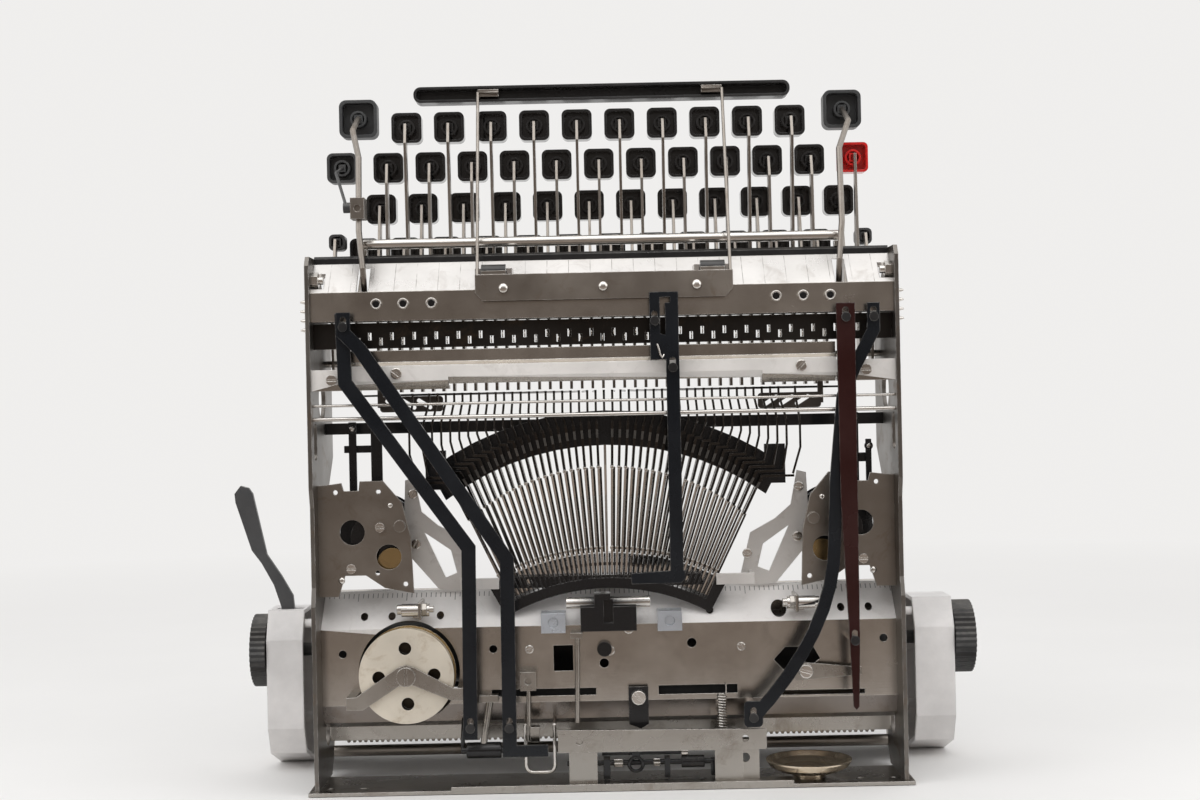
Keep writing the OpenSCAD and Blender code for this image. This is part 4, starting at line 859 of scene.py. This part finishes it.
class OBJECT_OT_typewriter_legends(bpy.types.Operator):
    """Plain letters and figures on the dished tops of the keys"""
    bl_idname = "object.typewriter_legends"
    bl_label = "Key legends"

    def execute(self, context):
        white, t, bsdf = shader("legend white")
        t.links.new(t.mix(t.span(t.noise(900.0, 3.0), 0.35, 0.7), (0.78, 0.77, 0.73),
                          (0.62, 0.61, 0.57)), bsdf.inputs["Base Color"])
        bsdf.inputs["Roughness"].default_value = 0.45
        for node, (text, middle, top, z) in LEGENDS.items():
            first = middle - (len(text) - 1) / 2 * PITCH
            signs = [self.sign(figure, first + index * PITCH, top, z)
                     for index, figure in enumerate(text) if figure != " "]
            place(f"{node}_legends", signs, white.name, "cover_grey", body=node)
        return {"FINISHED"}

    def sign(self, figure, x, top, z):
        """One sign laid on the ball-shaped dish of its cap, its head towards the carriage."""
        bpy.ops.object.select_all(action="DESELECT")
        bpy.ops.object.text_add()
        text = bpy.context.object.data
        text.body, text.size, text.resolution_u = figure, 5.6, 3
        text.align_x = text.align_y = "CENTER"
        bpy.ops.object.convert(target="MESH")
        letter = bpy.context.object
        ball, rise, lift = CAP * 1.3, CAP * 1.21, 0.06
        for vertex in letter.data.vertices:
            across, up = vertex.co.x, vertex.co.y
            sink = rise - (ball ** 2 - across ** 2 - up ** 2) ** 0.5
            vertex.co = (x + across, top + sink + lift, z - up)
        return letter


# Studio

class OBJECT_OT_typewriter_camera(bpy.types.Operator):
    """Camera at the photographed angle"""
    bl_idname = "object.typewriter_camera"
    bl_label = "Camera"

    def execute(self, context):
        studio = context.scene.typewriter_studio
        aside = -0.0017  # the photograph was taken from a little left of the middle
        bpy.ops.object.camera_add(location=(aside, -studio.distance, studio.height))
        camera = context.object
        camera.name = "camera"
        camera.rotation_euler = (
            Matrix.Rotation(radians(90), 3, "X") @ Matrix.Rotation(studio.roll, 3, "Z")).to_euler()
        camera.data.lens = studio.lens
        camera.data.sensor_width = 36.0
        camera.data.dof.use_dof = False
        context.scene.camera = camera
        return {"FINISHED"}


class OBJECT_OT_typewriter_stage(bpy.types.Operator):
    """Pale floor that fades into the backdrop, soft lights and a plain studio round them"""
    bl_idname = "object.typewriter_stage"
    bl_label = "Stage"

    def execute(self, context):
        studio = context.scene.typewriter_studio
        self.floor(studio)
        self.lights(studio)
        self.world(context.scene, studio)
        context.scene.view_settings.view_transform = "Standard"
        return {"FINISHED"}

    def floor(self, studio):
        """Floor that is plain backdrop far out, with a painted dark reflection where steel mirrors
        its near part.
        """
        floor = primitive("plane", size=5.0, location=(0, 0, -0.0003))
        floor.name = "floor"
        material, t, bsdf = shader("floor paper")
        tint = t.mix(t.span(t.noise(6.0, 3.0), 0.3, 0.7),
                     tuple(c * 0.97 for c in studio.backdrop), studio.backdrop)
        t.links.new(tint, bsdf.inputs["Base Color"])
        bsdf.inputs["Roughness"].default_value = 0.75
        distance = t.add("VectorMath", operation="LENGTH", links={0: t.coords()})
        far = t.times(t.span(distance.outputs["Value"], 0.35, 1.3), seen_directly(t))
        plain = t.add("Emission", inputs={"Color": (*studio.backdrop, 1.0), "Strength": 1.0})
        blend = t.add("MixShader", links={0: far, 1: bsdf.outputs[0], 2: plain.outputs[0]})
        # Glossy rays that meet the near floor see a dim brown glow: a painted reflection of a dark
        # room.
        mirrored = t.times(t.span(t.axes(t.coords())["Y"], -0.05, -0.24),
                           t.add("LightPath").outputs["Is Glossy Ray"])
        dim = t.add("Emission", inputs={"Color": (0.30, 0.25, 0.215, 1.0), "Strength": 1.0})
        front = t.add("MixShader", links={0: mirrored, 1: blend.outputs[0], 2: dim.outputs[0]})
        t.links.new(front.outputs[0], t.nodes["Material Output"].inputs["Surface"])
        floor.data.materials.append(material)

    def lights(self, studio):
        power = studio.key_power
        # name, place, aim, size and power
        rigs = (
            ("overhead", (0.0, -0.48, 1.20), (0, 0, 0.10), (1.5, 1.1), power),
            ("left fill", (-1.15, -0.75, 0.75), (0, 0, 0.15), (0.9, 0.9), power * 0.45),
            ("right fill", (1.15, -0.65, 0.70), (0, 0, 0.15), (0.9, 0.9), power * 0.40),
        )
        for name, place, aim, size, energy in rigs:
            bpy.ops.object.light_add(type="AREA", location=place)
            light = bpy.context.object
            light.name = name
            light.data.shape = "RECTANGLE"
            light.data.size, light.data.size_y = size
            light.data.energy = energy
            direction = Vector(aim) - Vector(place)
            light.rotation_euler = direction.to_track_quat("-Z", "Y").to_euler()

    def world(self, scene, studio):
        """Even light all round, but for the dim room that steel mirrors low in front."""
        world = scene.world = scene.world or bpy.data.worlds.new("studio")
        world.use_nodes = True
        t = Tree(world.node_tree)
        axes = t.axes(t.add("TexCoord").outputs["Generated"])
        front = t.span(axes["Y"], -0.30, 0.05, 1.0, 0.0)
        low = t.times(t.span(axes["Z"], 0.55, 0.10, 0.0, 1.0),
                      t.span(t.math("ABSOLUTE", axes["X"]), 0.80, 0.62))
        unseen = t.math("SUBTRACT", 1.0, t.add("LightPath").outputs["Is Camera Ray"])
        dark = t.times(t.times(front, low), unseen)
        room = t.mix(seen_directly(t), (0.78, 0.78, 0.78), studio.backdrop)
        background = t.nodes["Background"]
        t.links.new(t.mix(dark, room, studio.room), background.inputs["Color"])
        background.inputs["Strength"].default_value = 1.0


# Panel and registration

STEPS = (
    OBJECT_OT_typewriter_camera,
    OBJECT_OT_typewriter_stage,
    OBJECT_OT_typewriter_steel,
    OBJECT_OT_typewriter_enamel,
    OBJECT_OT_typewriter_plastic,
    OBJECT_OT_typewriter_rivets,
    OBJECT_OT_typewriter_hooks,
    OBJECT_OT_typewriter_basket_pins,
    OBJECT_OT_typewriter_linkage,
    OBJECT_OT_typewriter_side_levers,
    OBJECT_OT_typewriter_adjusters,
    OBJECT_OT_typewriter_wires,
    OBJECT_OT_typewriter_legends,
)


class VIEW3D_PT_typewriter(bpy.types.Panel):
    """Lists the steps that dress the typewriter"""
    bl_label = "Typewriter"
    bl_idname = "VIEW3D_PT_typewriter"
    bl_space_type = "VIEW_3D"
    bl_region_type = "UI"
    bl_category = "Typewriter"

    def draw(self, context):
        for step in STEPS:
            self.layout.operator(step.bl_idname)
        for group in ("typewriter_finishes", "typewriter_studio"):
            settings = getattr(context.scene, group)
            for name in settings.bl_rna.properties.keys():
                if name not in ("rna_type", "name"):
                    self.layout.prop(settings, name)


CLASSES = (TypewriterFinishes, TypewriterStudio, *STEPS, VIEW3D_PT_typewriter)


def register():
    for item in CLASSES:
        bpy.utils.register_class(item)
    bpy.types.Scene.typewriter_finishes = bpy.props.PointerProperty(type=TypewriterFinishes)
    bpy.types.Scene.typewriter_studio = bpy.props.PointerProperty(type=TypewriterStudio)


def unregister():
    del bpy.types.Scene.typewriter_studio
    del bpy.types.Scene.typewriter_finishes
    for item in reversed(CLASSES):
        bpy.utils.unregister_class(item)


def main():
    register()
    for step in STEPS:
        area, name = step.bl_idname.split(".")
        getattr(getattr(bpy.ops, area), name)()


if __name__ == "__main__":
    main()
